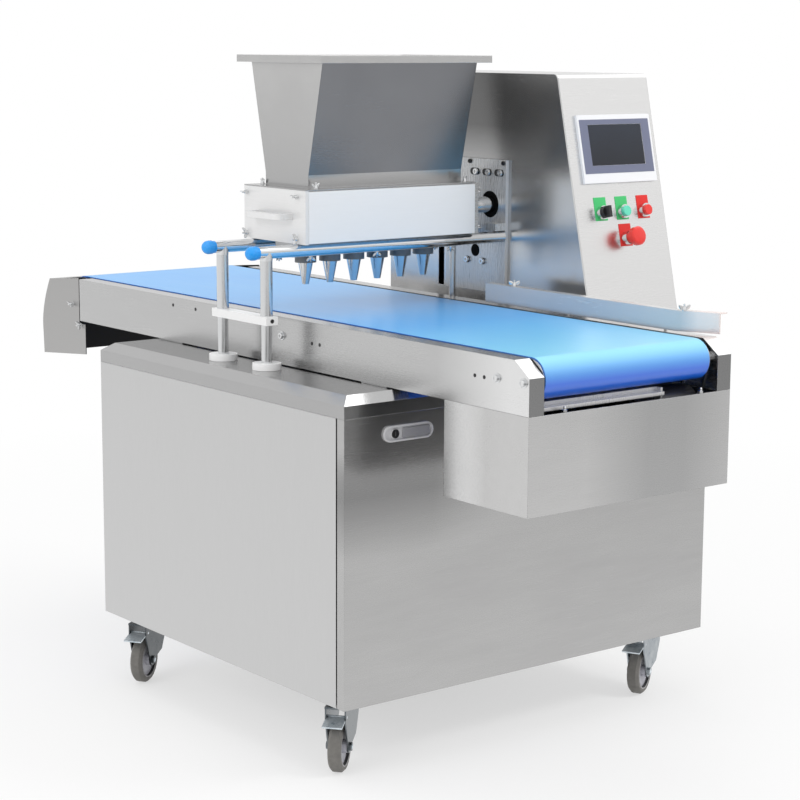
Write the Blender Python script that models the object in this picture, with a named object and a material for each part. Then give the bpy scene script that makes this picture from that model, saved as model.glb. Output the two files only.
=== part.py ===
"""Belt cake depositor on casters: cabinet, conveyor, six-nozzle depositing head and control tower.

Run with blender --background --python part.py, or from the text editor. Units are metres, +Z is up,
-Y is the outfeed end with the touch panel, +X is the side with the control tower.
"""
from math import atan2, cos, pi, radians, sin

import bmesh
import bpy
from mathutils import Matrix, Vector

# Sheet metal, welds and fits
SHEET = 0.002
WELD = 0.0005
GAP = 0.0003
OVERRUN = 0.010

# Cabinet
CABINET_WIDTH = 0.960
CABINET_DEPTH = 0.888
CABINET_HEIGHT = 0.559
FLOOR_CLEARANCE = 0.153
CABINET_SETBACK = 0.363
LID_SKIRT = 0.025
LID_BEVEL_RUN = 0.023
LID_BEVEL_RISE = 0.0165
ANGLE_LEG = 0.040
ANGLE_WALL = 0.003
FRAME_SETBACK = 0.030
CABLE_HOLE_RADIUS = 0.020
CABLE_HOLE_INSET = 0.120
GLAND_RADIUS = 0.014
GLAND_BORE = 0.006
GLAND_LENGTH = 0.022
GLAND_INSET = 0.120
GLAND_RISE = 0.070

# Lift-off front panel on two lower pins
PANEL_RETURN = 0.022
PANEL_GAP = 0.004
PIN_RADIUS = 0.004
PIN_CLEARANCE = 0.0003
PIN_SETBACK = 0.010
PIN_RISE = 0.010
HOOK_OFFSET = 0.360
HOOK_WIDTH = 0.020
HOOK_DEPTH = 0.018
HOOK_HEIGHT = 0.018
HOOK_SIDE_GAP = 0.001
PIN_BRACKET_WIDTH = 0.012
PIN_BRACKET_RISE = 0.0063
PIN_BRACKET_HEIGHT = 0.016
PIN_BRACKET_REACH = 0.0252

# Latch of the front panel
LATCH_LENGTH = 0.118
LATCH_HEIGHT = 0.031
LATCH_THICKNESS = 0.0045
LATCH_INSET = 0.149
LATCH_DROP = 0.0375
LATCH_RIM = 0.0035
LATCH_FLOOR = 0.0012
LATCH_BOX_DEPTH = 0.012
KEY_RADIUS = 0.0095
KEY_SPACING = 0.033
KEY_LENGTH = 0.004
LEVER_LENGTH = 0.064
LEVER_HEIGHT = 0.018
LEVER_THICKNESS = 0.0027
LEVER_END_GAP = 0.006

# Electrics on a tray in the cabinet
TRAY_WIDTH = 0.560
TRAY_DEPTH = 0.420
TRAY_RIM = 0.020
DRIVE_WIDTH = 0.110
DRIVE_DEPTH = 0.170
DRIVE_HEIGHT = 0.190
DRIVE_PITCH = 0.165

# Casters
WHEEL_RADIUS = 0.051
WHEEL_WIDTH = 0.026
AXLE_RADIUS = 0.004
AXLE_CLEARANCE = 0.0004
HUB_RADIUS = 0.013
WEB_RADIUS = 0.037
WEB_INSET = 0.006
TREAD_CHAMFER = 0.005
TRAIL = 0.022
CASTER_INSET_SIDE = 0.071
CASTER_INSET_FRONT = 0.102
CASTER_INSET_BACK = 0.060
CASTER_HEADINGS = {"fl": radians(50), "fr": radians(63), "bl": radians(54.5), "br": radians(-54.5)}
TOP_PLATE_WIDTH = 0.104
TOP_PLATE_DEPTH = 0.110
TOP_PLATE_THICKNESS = 0.003
RACE_RADIUS = 0.028
CROWN_THICKNESS = 0.004
CROWN_DROP = 0.0154
CROWN_FRONT = 0.056
CROWN_BACK = 0.056
LEG_THICKNESS = 0.003
LEG_CLEARANCE = 0.005
HUB_END_GAP = 0.001
LEG_TIP = 0.013
LEG_HEEL = 0.024
LEG_FRONT = ((0.030, 0.062), (0.053, 0.100))
BOLT_RADIUS = 0.0085
BOLT_HEIGHT = 0.005
PEDAL_WIDTH = 0.040
PEDAL_LENGTH = 0.042
PEDAL_THICKNESS = 0.003
PEDAL_SLOPE = radians(14)
PEDAL_BACK = 0.044
PEDAL_DROP = 0.0175
PEDAL_NECK = 0.015
PEDAL_PIN_RADIUS = 0.003
PEDAL_SIDE_GAP = 0.0005

# Conveyor rails
CONVEYOR_X = -0.096
RAIL_LENGTH = 1.572
RAIL_SPAN = 0.506
RAIL_HEIGHT = 0.0967
RAIL_FLANGE = 0.035
RAIL_PAD = 0.002
PAD_LENGTH = 0.080
PAD_INSET = 0.060
NOSE_RUN = 0.040
NOSE_RISE = 0.029
RAIL_HOLE_RADIUS = 0.0025
RAIL_HOLES = ((0.121, 0.041), (0.147, 0.041), (0.621, 0.042), (0.647, 0.042), (1.073, 0.018), (1.163, 0.018))
RAIL_BOLTS = (0.015, 0.086, 0.750)
RAIL_BOLT_DROP = 0.038
RAIL_BOLT_RADIUS = 0.006
RAIL_BOLT_HEIGHT = 0.006

# Belt, rollers, bearings and bed
BELT_CHAIN_GAP = 0.0206
BELT_THICKNESS = 0.002
BELT_EDGE_GAP = 0.0054
BELT_RISE = 0.0015
ROLLER_RADIUS = 0.0362
ROLLER_END_GAP = 0.003
ROLLER_INSET = 0.0405
IDLER_OVERHANG = 0.044
SHAFT_RADIUS = 0.010
SHAFT_CLEARANCE = 0.0003
BEARING_RADIUS = 0.027
BEARING_THICKNESS = 0.018
TAKE_UP_HEIGHT = 0.056
TAKE_UP_THICKNESS = 0.006
TAKE_UP_LAP = 0.060
TAKE_UP_BOLT_INSET = 0.015
BED_EDGE_GAP = 0.004
BED_LIP = 0.010
BED_END_GAP = 0.012
CROSS_BAR_WIDTH = 0.040
CROSS_BAR_HEIGHT = 0.028
CROSS_BAR_WALL = 0.003
CROSS_BAR_SHARES = (0.0, 0.33, 0.67, 1.0)
CROSS_BAR_INSET = 0.110

# End hood over the idler
HOOD_REACH = 0.179
HOOD_RISE = 0.0028
HOOD_FALL = 0.0133
HOOD_DROP = 0.0945
HOOD_TOE_RISE = 0.0185
HOOD_LAP = 0.0245
HOOD_STEP_GAP = 0.003
HOOD_STEP_DROP = 0.007
HOOD_WINDOW = 0.068
HOOD_TOP_LENGTH = 0.1412
HOOD_BELLY = 0.070
HOOD_HEEL = 0.004
HOOD_BULGE_SHARE = 0.42
HOOD_STEPS = 8

# Box, geared motor and chain under the drive roller
PAN_LENGTH = 0.2325
PAN_DEPTH = 0.1805
MOTOR_RADIUS = 0.038
MOTOR_LENGTH = 0.092
MOTOR_NOSE = 0.010
MOTOR_SETBACK = 0.022
MOTOR_DROP = 0.087
MOTOR_SHAFT_RADIUS = 0.007
SPROCKET_RADIUS = 0.024
SPROCKET_THICKNESS = 0.008
SPROCKET_OFFSET = 0.010
CHAIN_THICKNESS = 0.004
CHAIN_WIDTH = 0.005
BEAM_WIDTH = 0.040
BEAM_SETBACK = 0.018
BEAM_HEIGHT = 0.0135
BEAM_STEP_SHARE = 0.5
MOUNT_THICKNESS = 0.005
MOUNT_WIDTH = 0.070

# Side guard on the far rail
GUARD_INSET = 0.029
GUARD_START = 0.119
GUARD_LENGTH = 0.562
GUARD_LIFT = 0.0035
GUARD_HEIGHT = 0.040
GUARD_FLANGE = 0.020
FLARE_LENGTH = 0.0815
FLARE_OFFSET = 0.0355
GUARD_POSTS = (0.068, 0.562)
GUARD_POST_RADIUS = 0.003
GUARD_POST_OFFSET = 0.012

# Control tower
TOWER_DEPTH = 0.690
TOWER_HEIGHT = 0.5805
TOWER_WIDTH = 0.2575
TOWER_LEAN = 0.1316
TOWER_SETBACK = 0.0775
TOWER_CORNER = 0.012
TOWER_SIDE = 0.003
CORNER_STEPS = 4
SLOT_PLAY = 0.003
REAR_SLOT_GAP = 0.016
REAR_SLOT_WIDTH = 0.020
REAR_SLOT_HEIGHT = 0.197

# Touch panel and switches, placed on the leaning front of the tower
PANEL_WIDTH = 0.210
PANEL_HEIGHT = 0.144
PANEL_THICKNESS = 0.007
PANEL_CENTRE = (0.1375, 0.4355)
PANEL_BODY_INSET = 0.009
PANEL_BODY_DEPTH = 0.035
SCREEN_WIDTH = 0.154
SCREEN_HEIGHT = 0.0865
SCREEN_SHIFT = 0.008
SCREEN_RECESS = 0.0015
SELECTOR_PLACE = (0.0725, 0.3015)
GREEN_PLACE = (0.1335, 0.3015)
RED_PLACE = (0.1955, 0.3015)
STOP_PLACE = (0.1345, 0.245)
BEZEL_RADIUS = 0.0145
BEZEL_BORE = 0.0115
BEZEL_FLOOR = 0.0015
BEZEL_HEIGHT = 0.012
STOP_BEZEL_HEIGHT = 0.016
NECK_RADIUS = 0.0108
NECK_BORE = 0.0090
SWITCH_DEPTH = 0.020
SWITCH_MARGIN = 0.020
CAP_RADIUS = 0.0112
CAP_CHAMFER = 0.001
STEM_RADIUS = 0.0085
BUTTON_FACE = 0.018
BUTTON_TRAVEL = 0.004
GRIP_WIDTH = 0.008
GRIP_LENGTH = 0.024
GRIP_BASE = 0.0135
GRIP_TOP = 0.030
STOP_TRAVEL = 0.005
STOP_HEAD_RADIUS = 0.020
STOP_NECK = 0.027
STOP_HEAD_HEIGHT = 0.019
STOP_EDGE = 0.003

# Slide rods, posts and carriage of the depositing head
HEAD_SHIFT = -0.001
ROD_RADIUS = 0.0125
ROD_SPACING = 0.1575
ROD_HEIGHT = 0.1342
ROD_OVERHANG = 0.0340
BALL_RADIUS = 0.014
BALL_STEPS = 6
POST_GAP = 0.0526
POST_RADIUS = 0.011
POST_DROP = 0.0567
SLEEVE_RADIUS = 0.0125
SLEEVE_CLEARANCE = 0.0003
LINK_WIDTH = 0.028
LINK_LENGTH = 0.197
LINK_HEIGHT = 0.0165
LINK_DROP = 0.143
FOOT_RADIUS = 0.0295
FOOT_HEIGHT = 0.013
LIFT_UP = 0.020
LIFT_DOWN = 0.030
CARRIAGE_GAP = 0.0573
CARRIAGE_THICKNESS = 0.006
CARRIAGE_BACK_GAP = 0.002
CARRIAGE_FRONT = 0.088
CARRIAGE_LENGTH = 0.200
CARRIAGE_DROP = 0.1247
CARRIAGE_HEIGHT = 0.288
CARRIAGE_HOLE = 0.029
LOWER_HOLE = 0.010
LOWER_HOLE_SETBACK = 0.099
LOWER_HOLE_RISE = 0.088
HEAD_BOLT_RADIUS = 0.0065
HEAD_BOLT_HEIGHT = 0.006
TOP_BOLT_SETBACKS = (0.0165, 0.0565, 0.0970)
TOP_BOLT_DROP = 0.028
LOWER_BOLT_SETBACKS = (0.073, 0.125)
LOWER_BOLT_RISE = 0.066
SADDLE_LENGTH = 0.028
SADDLE_WIDTH = 0.036
SADDLE_HEIGHT = 0.016

# Pump housing, its rotors and its two covers
HOUSING_LENGTH = 0.446
HOUSING_FRONT = 0.102
HOUSING_BACK = 0.107
HOUSING_HEIGHT = 0.1075
END_WALL = 0.016
COVER_THICKNESS = 0.0075
COVER_LENGTH = 0.430
COVER_MARGIN = 0.002
END_COVER_THICKNESS = 0.0075
HANDLE_LENGTH = 0.130
HANDLE_REACH = 0.034
HANDLE_BAR = 0.012
HANDLE_CORNER = 0.020
ROTOR_DISTANCE = 0.072
LOBE_COUNT = 8
LOBE_DEPTH = 0.0035
LOBE_POINTS = 7
MESH_CLEARANCE = 0.0016
ROTOR_WALL_GAP = 0.0005
ROTOR_END_GAP = 0.0005
DRIVE_SHAFT_RADIUS = 0.0175
DRIVE_SHAFT_REACH = 0.150
STUB_RADIUS = 0.010
FEED_WIDTH = 0.060
FEED_INSET = 0.034

# Nozzle bar, nozzles and stanchion
NOZZLE_COUNT = 6
NOZZLE_PITCH = 0.0617
NOZZLE_SHIFT = 0.0001
BAR_WIDTH = 0.060
BAR_HEIGHT = 0.032
BAR_REACH = 0.2081
MANIFOLD_WIDTH = 0.014
MANIFOLD_DEPTH = 0.016
NOZZLE_FEED = 0.006
NOZZLE_FLANGE_RADIUS = 0.0225
NOZZLE_FLANGE_HEIGHT = 0.0145
CONE_RADIUS = 0.0155
CONE_HEIGHT = 0.045
TIP_RADIUS = 0.007
TIP_BORE = 0.0045
STANCHION_RADIUS = 0.007
STANCHION_INSET = 0.016
STANCHION_HEIGHT = 0.137
STANCHION_BLOCK = 0.025
STANCHION_BLOCK_WIDTH = 0.030

# Hopper
HOPPER_LENGTH = 0.396
HOPPER_TOP_WIDTH = 0.253
HOPPER_LOW_WIDTH = 0.150
HOPPER_HEIGHT = 0.2645
HOPPER_SHIFT = 0.0017
THROAT_HEIGHT = 0.0275
RIM_OVERHANG = 0.021
RIM_LIP = 0.0146
BASE_FLANGE_INSET = 0.014

# Pump drive, guide rod and lift cylinder inside the tower
GEARBOX_SIZE = 0.090
GEARBOX_LENGTH = 0.080
GEARBOX_GAP = 0.010
FEED_MOTOR_RADIUS = 0.035
FEED_MOTOR_LENGTH = 0.150
SLIDER_LENGTH = 0.080
SLIDER_DEPTH = 0.040
SLIDER_HEIGHT = 0.040
SLIDER_SETBACK = 0.056
GUIDE_RADIUS = 0.010
GUIDE_CLEARANCE = 0.0003
GUIDE_SHARE = 0.25
PISTON_SHARE = 0.75
GUIDE_TOP_GAP = 0.034
PISTON_RADIUS = 0.008
PISTON_LENGTH = 0.183
CYLINDER_RADIUS = 0.016
CYLINDER_HEIGHT = 0.205
CYLINDER_FLOOR = 0.040
LIFT_BASE_MARGIN = 0.030
LIFT_BASE_THICKNESS = 0.006

# Facets
FINE_SIDES = 24
ROUND_SIDES = 16
SMALL_SIDES = 10

# Places that follow from the sizes: conveyor, cabinet and lid
front_y = -(RAIL_LENGTH + HOOD_REACH) / 2
rail_back = front_y + RAIL_LENGTH
cabinet_left = -CABINET_WIDTH / 2
cabinet_right = CABINET_WIDTH / 2
cabinet_front = front_y + CABINET_SETBACK
cabinet_back = cabinet_front + CABINET_DEPTH
seam_z = FLOOR_CLEARANCE + CABINET_HEIGHT
lid_top = seam_z + LID_SKIRT + LID_BEVEL_RISE
plate_base = FLOOR_CLEARANCE - TOP_PLATE_THICKNESS
rail_base = lid_top + GAP + RAIL_PAD
rail_top = rail_base + RAIL_HEIGHT
rail_left = CONVEYOR_X - RAIL_SPAN / 2
rail_right = CONVEYOR_X + RAIL_SPAN / 2
belt_left = rail_left + RAIL_FLANGE + BELT_EDGE_GAP
belt_right = rail_right - RAIL_FLANGE - BELT_CHAIN_GAP
roller_z = rail_top + BELT_RISE - BELT_THICKNESS - GAP - ROLLER_RADIUS
drive_y = front_y + ROLLER_INSET
idler_y = rail_back + IDLER_OVERHANG
pan_top = rail_base - GAP
sprocket_x = belt_right + SPROCKET_OFFSET
motor_y = drive_y + MOTOR_SETBACK
motor_z = roller_z - MOTOR_DROP
motor_right = sprocket_x - SPROCKET_THICKNESS / 2 - MOTOR_NOSE
motor_left = motor_right - MOTOR_LENGTH

# Places of the tower and of the depositing head
carriage_x = rail_right + CARRIAGE_GAP
tower_left = carriage_x + CARRIAGE_THICKNESS + CARRIAGE_BACK_GAP
tower_right = tower_left + TOWER_WIDTH
tower_front = cabinet_front + TOWER_SETBACK
tower_back = tower_front + TOWER_DEPTH
tower_base = lid_top + GAP
tower_top = tower_base + TOWER_HEIGHT
tower_lean = atan2(TOWER_LEAN, TOWER_HEIGHT)
head_y = (cabinet_front + cabinet_back) / 2
rod_ys = (head_y - ROD_SPACING / 2, head_y + ROD_SPACING / 2)
rod_z = rail_top + ROD_HEIGHT
post_x = rail_left - POST_GAP
post_top = rod_z - POST_DROP
link_base = rod_z - LINK_DROP
rod_left = post_x - ROD_OVERHANG
housing_base = rod_z + ROD_RADIUS + GAP
housing_top = housing_base + HOUSING_HEIGHT
head_x = CONVEYOR_X + HEAD_SHIFT
housing_left = head_x - HOUSING_LENGTH / 2
housing_right = head_x + HOUSING_LENGTH / 2
housing_front = head_y - HOUSING_FRONT
housing_back = head_y + HOUSING_BACK
cover_front = housing_front - GAP - COVER_THICKNESS
cover_left = housing_left - GAP - END_COVER_THICKNESS
rotor_z = (housing_base + housing_top) / 2
lobe_mean = (ROTOR_DISTANCE - MESH_CLEARANCE) / 2
rotor_bore = lobe_mean + LOBE_DEPTH + ROTOR_WALL_GAP
drive_rotor_y = head_y - ROTOR_DISTANCE / 2
driven_rotor_y = head_y + ROTOR_DISTANCE / 2
bar_base = housing_base - GAP - BAR_HEIGHT
nozzle_x = CONVEYOR_X + NOZZLE_SHIFT
bar_left = nozzle_x - BAR_REACH
carriage_front = head_y - CARRIAGE_FRONT
carriage_base = rod_z - CARRIAGE_DROP
carriage_top = carriage_base + CARRIAGE_HEIGHT
slider_y = head_y + SLIDER_SETBACK
guide_x = tower_left + SLIDER_DEPTH / 2
guide_y = slider_y + SLIDER_LENGTH * (GUIDE_SHARE - 0.5)
piston_y = slider_y + SLIDER_LENGTH * (PISTON_SHARE - 0.5)
stanchion_x = rail_right - STANCHION_INSET
bar_right = stanchion_x - STANCHION_BLOCK / 2 + WELD

# Colour, roughness and metallic value of each finish
FINISHES = {
    "brushed steel": ((0.62, 0.62, 0.61), 0.32, 1.0),
    "polished steel": ((0.74, 0.74, 0.75), 0.12, 1.0),
    "zinc": ((0.58, 0.63, 0.68), 0.35, 1.0),
    "blue belt": ((0.10, 0.42, 0.90), 0.45, 0.0),
    "white plastic": ((0.86, 0.86, 0.87), 0.40, 0.0),
    "black plastic": ((0.02, 0.02, 0.02), 0.45, 0.0),
    "black paint": ((0.03, 0.03, 0.035), 0.50, 0.0),
    "green plastic": ((0.05, 0.60, 0.22), 0.35, 0.0),
    "red plastic": ((0.75, 0.04, 0.04), 0.35, 0.0),
    "grey plastic": ((0.30, 0.30, 0.31), 0.45, 0.0),
    "grey rubber": ((0.16, 0.15, 0.14), 0.75, 0.0),
}

places = {}


def clear_scene():
    """Start from an empty scene."""
    for thing in list(bpy.data.objects):
        bpy.data.objects.remove(thing, do_unlink=True)


def make_material(name, finish):
    """Principled material of one node."""
    colour, roughness, metallic = FINISHES[finish]
    material = bpy.data.materials.new(name)
    material.use_nodes = True
    shader = material.node_tree.nodes["Principled BSDF"]
    shader.inputs["Base Color"].default_value = (*colour, 1)
    shader.inputs["Roughness"].default_value = roughness
    shader.inputs["Metallic"].default_value = metallic
    material.diffuse_color = (*colour, 1)
    return material


def make_object(name, bm):
    """Link an object that holds the shape."""
    bmesh.ops.recalc_face_normals(bm, faces=bm.faces)
    mesh = bpy.data.meshes.new(name)
    bm.to_mesh(mesh)
    bm.free()
    part = bpy.data.objects.new(name, mesh)
    bpy.context.scene.collection.objects.link(part)
    return part


def node(name, bm, finish, origin=(0, 0, 0), parent=None, frame=None):
    """Make one sub-part, with its origin at a point given in the frame's coordinates."""
    bmesh.ops.translate(bm, vec=-Vector(origin), verts=bm.verts)
    part = make_object(name, bm)
    part.data.materials.append(make_material(name, finish))
    part.data.shade_smooth()
    part.data.set_sharp_from_angle(angle=radians(32))
    place = (frame or Matrix()) @ Matrix.Translation(origin)
    places[name] = place
    part.parent = parent
    part.matrix_basis = places[parent.name].inverted() @ place if parent else place
    return part


def combine(part, bm, operation, frame):
    """Combine a sub-part with a shape that is given in world coordinates or in a frame's."""
    if frame:
        bmesh.ops.transform(bm, matrix=frame, verts=bm.verts)
    guide = make_object(part.name + "_" + operation.lower(), bm)
    guide.display_type = "WIRE"
    guide.hide_render = True
    modifier = part.modifiers.new(operation.lower(), "BOOLEAN")
    modifier.operation = operation
    modifier.solver = "EXACT"
    modifier.use_self = True
    modifier.object = guide


def cut(part, bm, frame=None):
    """Cut a shape out of a sub-part."""
    combine(part, bm, "DIFFERENCE", frame)


def join(part, bm, frame=None):
    """Weld or screw a shape onto a sub-part."""
    combine(part, bm, "UNION", frame)


def around(middle, size):
    """Limits of a size centred on a place."""
    return (middle - size / 2, middle + size / 2)


def grow(limits, step):
    """Limits moved outward by a step."""
    return (limits[0] - step, limits[1] + step)


def side(face, direction, start, end):
    """Limits between two distances from a face, along a direction of 1 or -1."""
    return tuple(sorted((face + direction * start, face + direction * end)))


def corners(a, b):
    """Outline of a rectangle."""
    return [(a[0], b[0]), (a[1], b[0]), (a[1], b[1]), (a[0], b[1])]


def arc(centre, radius, start, end, steps):
    """Points of an arc between two angles."""
    turns = [start + (end - start) * i / steps for i in range(steps + 1)]
    return [(centre[0] + radius * cos(t), centre[1] + radius * sin(t)) for t in turns]


def circle(centre, radius, sides):
    """Outline of a circle."""
    return arc(centre, radius, 0, 2 * pi, sides)[:-1]


def stadium(centre, length, height, steps):
    """Outline of a bar with round ends."""
    reach = (length - height) / 2
    right = arc((centre[0] + reach, centre[1]), height / 2, -pi / 2, pi / 2, steps)
    left = arc((centre[0] - reach, centre[1]), height / 2, pi / 2, 3 * pi / 2, steps)
    return right + left


def belt_line(first, second, radius, steps):
    """Outline of a belt around two equal wheels."""
    turn = atan2(second[1] - first[1], second[0] - first[0])
    near = arc(first, radius, turn + pi / 2, turn + 3 * pi / 2, steps)
    far = arc(second, radius, turn - pi / 2, turn + pi / 2, steps)
    return near + far


def shrunk(outline, step):
    """Outline with each side moved inward by a step."""
    points = [Vector(point) for point in outline]
    area = sum(a.cross(b) for a, b in zip(points, points[1:] + points[:1]))
    inward = 1 if area > 0 else -1
    moved = []
    for i, point in enumerate(points):
        before = (point - points[i - 1]).normalized()
        after = (points[(i + 1) % len(points)] - point).normalized()
        first = Vector((-before.y, before.x)) * inward
        second = Vector((-after.y, after.x)) * inward
        moved.append(tuple(point + (first + second) * step / (1 + first.dot(second))))
    return moved


def rounded(outline, index, radius):
    """Outline with one of its corners rounded."""
    corner = Vector(outline[index])
    before = (Vector(outline[index - 1]) - corner).normalized()
    after = (Vector(outline[(index + 1) % len(outline)]) - corner).normalized()
    half = before.angle(after) / 2
    centre = corner + (before + after).normalized() * radius / sin(half)
    start = corner + before * radius * cos(half) / sin(half) - centre
    end = corner + after * radius * cos(half) / sin(half) - centre
    first = atan2(start.y, start.x)
    sweep = (atan2(end.y, end.x) - first + pi) % (2 * pi) - pi
    return outline[:index] + arc(centre, radius, first, first + sweep, CORNER_STEPS) + outline[index + 1:]


def bend(first, control, last, steps):
    """Points of a quadratic curve between two points."""
    ends = [Vector(first), Vector(control), Vector(last)]
    points = []
    for i in range(steps + 1):
        t = i / steps
        points.append(tuple(ends[0] * (1 - t) ** 2 + ends[1] * 2 * t * (1 - t) + ends[2] * t ** 2))
    return points


def ring_at(axis, place, outline):
    """Points of an outline on a plane across an axis."""
    if axis == "X":
        return [(place, a, b) for a, b in outline]
    if axis == "Y":
        return [(a, place, b) for a, b in outline]
    return [(a, b, place) for a, b in outline]


def lofted(bm, rings, closed=False):
    """Join rings of points, and cap the first and last unless they close on themselves."""
    rows = [[bm.verts.new(point) for point in ring] for ring in rings]
    pairs = list(zip(rows, rows[1:]))
    if closed:
        pairs.append((rows[-1], rows[0]))
    for low, high in pairs:
        for i in range(len(low)):
            j = (i + 1) % len(low)
            bm.faces.new((low[i], low[j], high[j], high[i]))
    if not closed:
        bm.faces.new(rows[0])
        bm.faces.new(rows[-1])


def extruded(bm, axis, limits, outline):
    """Extrude an outline along an axis."""
    lofted(bm, [ring_at(axis, place, outline) for place in limits])


def pierced(bm, axis, limits, outer, inner):
    """Extrude an outline with an opening of as many points right through it."""
    low, high = limits
    path = [(low, outer), (high, outer), (high, inner), (low, inner)]
    lofted(bm, [ring_at(axis, place, outline) for place, outline in path], closed=True)


def tray(bm, axis, floor, mouth, outline, wall=SHEET):
    """Folded tray whose floor is as thick as its walls."""
    inside = floor + (wall if mouth > floor else -wall)
    inner = shrunk(outline, wall)
    path = [(floor, outline), (mouth, outline), (mouth, inner), (inside, inner)]
    lofted(bm, [ring_at(axis, place, points) for place, points in path])


def block(bm, x, y, z):
    """Box between limits."""
    extruded(bm, "Z", z, corners(x, y))


def turned(bm, start, direction, profile, sides):
    """Turn a profile of (radius, height) points about an axis; one that ends on the axis stays open."""
    frame = Matrix.Translation(start) @ Vector(direction).to_track_quat("Z", "Y").to_matrix().to_4x4()
    known = set(bm.verts)
    line = [bm.verts.new(frame @ Vector((radius, 0, height))) for radius, height in profile]
    edges = [bm.edges.new(pair) for pair in zip(line, line[1:])]
    if profile[0][0] > 0:
        edges.append(bm.edges.new((line[-1], line[0])))
    bmesh.ops.spin(bm, geom=line + edges, cent=start, axis=direction, angle=2 * pi, steps=sides)
    fresh = [vert for vert in bm.verts if vert not in known]
    bmesh.ops.remove_doubles(bm, verts=fresh, dist=GAP / ROUND_SIDES)


def rod(bm, start, direction, radius, length, sides=SMALL_SIDES):
    """Solid bar along an axis."""
    turned(bm, start, direction, [(0, 0), (radius, 0), (radius, length), (0, length)], sides)


def build_base_frame():
    """Welded frame of angle with its floor plate, the caster plates and the pins of the front panel."""
    x = grow((cabinet_left, cabinet_right), -SHEET - GAP)
    y = (cabinet_front + FRAME_SETBACK, cabinet_back - SHEET - GAP)
    top = seam_z - GAP
    low = [
        (0, FLOOR_CLEARANCE), (0, FLOOR_CLEARANCE + ANGLE_LEG), (ANGLE_WALL, FLOOR_CLEARANCE + ANGLE_LEG),
        (ANGLE_WALL, FLOOR_CLEARANCE + ANGLE_WALL), (ANGLE_LEG, FLOOR_CLEARANCE + ANGLE_WALL),
        (ANGLE_LEG, FLOOR_CLEARANCE),
    ]
    high = [(inset, top + FLOOR_CLEARANCE - z) for inset, z in low]
    bm = bmesh.new()
    lofted(bm, [ring_at("Z", z, corners(grow(x, -inset), grow(y, -inset))) for inset, z in low], True)
    frame = node("base_frame", bm, "brushed steel")
    more = bmesh.new()
    lofted(more, [ring_at("Z", z, corners(grow(x, -inset), grow(y, -inset))) for inset, z in high], True)
    inset = ANGLE_WALL - WELD
    upright = (FLOOR_CLEARANCE + inset, top - inset)
    for across, place_x in ((1, x[0] + inset), (-1, x[1] - inset)):
        for along, place_y in ((1, y[0] + inset), (-1, y[1] - inset)):
            legs = [(0, 0), (ANGLE_LEG, 0), (ANGLE_LEG, ANGLE_WALL), (ANGLE_WALL, ANGLE_WALL)]
            legs += [(ANGLE_WALL, ANGLE_LEG), (0, ANGLE_LEG)]
            outline = [(place_x + across * a, place_y + along * b) for a, b in legs]
            extruded(more, "Z", upright, outline)
    join(frame, more)
    fittings = bmesh.new()
    floor = (FLOOR_CLEARANCE + inset, FLOOR_CLEARANCE + ANGLE_WALL + SHEET)
    block(fittings, grow(x, -inset), grow(y, -inset), floor)
    for place in caster_places().values():
        plate = (plate_base, FLOOR_CLEARANCE + WELD)
        block(fittings, around(place[0], TOP_PLATE_WIDTH), around(place[1], TOP_PLATE_DEPTH), plate)
    for sign in (-1, 1):
        add_panel_pin(fittings, sign, y[0])
    join(frame, fittings)


def add_panel_pin(bm, sign, frame_front):
    """Pin on its bracket, outboard of one hook of the front panel."""
    face = sign * (HOOK_OFFSET + HOOK_WIDTH / 2 + HOOK_SIDE_GAP)
    base = FLOOR_CLEARANCE + PIN_BRACKET_RISE
    y = (frame_front - PIN_BRACKET_REACH, frame_front + WELD)
    block(bm, side(face, sign, 0, PIN_BRACKET_WIDTH), y, (base, base + PIN_BRACKET_HEIGHT))
    start = (face + sign * WELD, cabinet_front + PIN_SETBACK, FLOOR_CLEARANCE + PIN_RISE)
    rod(bm, start, (-sign, 0, 0), PIN_RADIUS, HOOK_WIDTH)


def caster_places():
    """Swivel axis of each caster."""
    front = cabinet_front + CASTER_INSET_FRONT
    back = cabinet_back - CASTER_INSET_BACK
    left = cabinet_left + CASTER_INSET_SIDE
    return {"fl": (left, front), "fr": (-left, front), "bl": (left, back), "br": (-left, back)}


def build_cabinet_shell():
    """Left, back and right panels in one folded sheet, with the cable gland."""
    front = cabinet_front + PANEL_RETURN + PANEL_GAP
    x = (cabinet_left, cabinet_right)
    outer = [(x[0], front), (x[0], cabinet_back), (x[1], cabinet_back), (x[1], front)]
    inner = [
        (x[1] - SHEET, front), (x[1] - SHEET, cabinet_back - SHEET),
        (x[0] + SHEET, cabinet_back - SHEET), (x[0] + SHEET, front),
    ]
    bm = bmesh.new()
    extruded(bm, "Z", (FLOOR_CLEARANCE, seam_z - GAP), outer + inner)
    shell = node("cabinet_shell", bm, "brushed steel")
    gland = (cabinet_right - GLAND_INSET, cabinet_back - WELD, FLOOR_CLEARANCE + GLAND_RISE)
    sleeve = bmesh.new()
    rod(sleeve, gland, (0, 1, 0), GLAND_RADIUS, GLAND_LENGTH, ROUND_SIDES)
    join(shell, sleeve)
    bore = bmesh.new()
    start = (gland[0], cabinet_back - OVERRUN, gland[2])
    rod(bore, start, (0, 1, 0), GLAND_BORE, GLAND_LENGTH + 2 * OVERRUN)
    cut(shell, bore)


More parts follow.
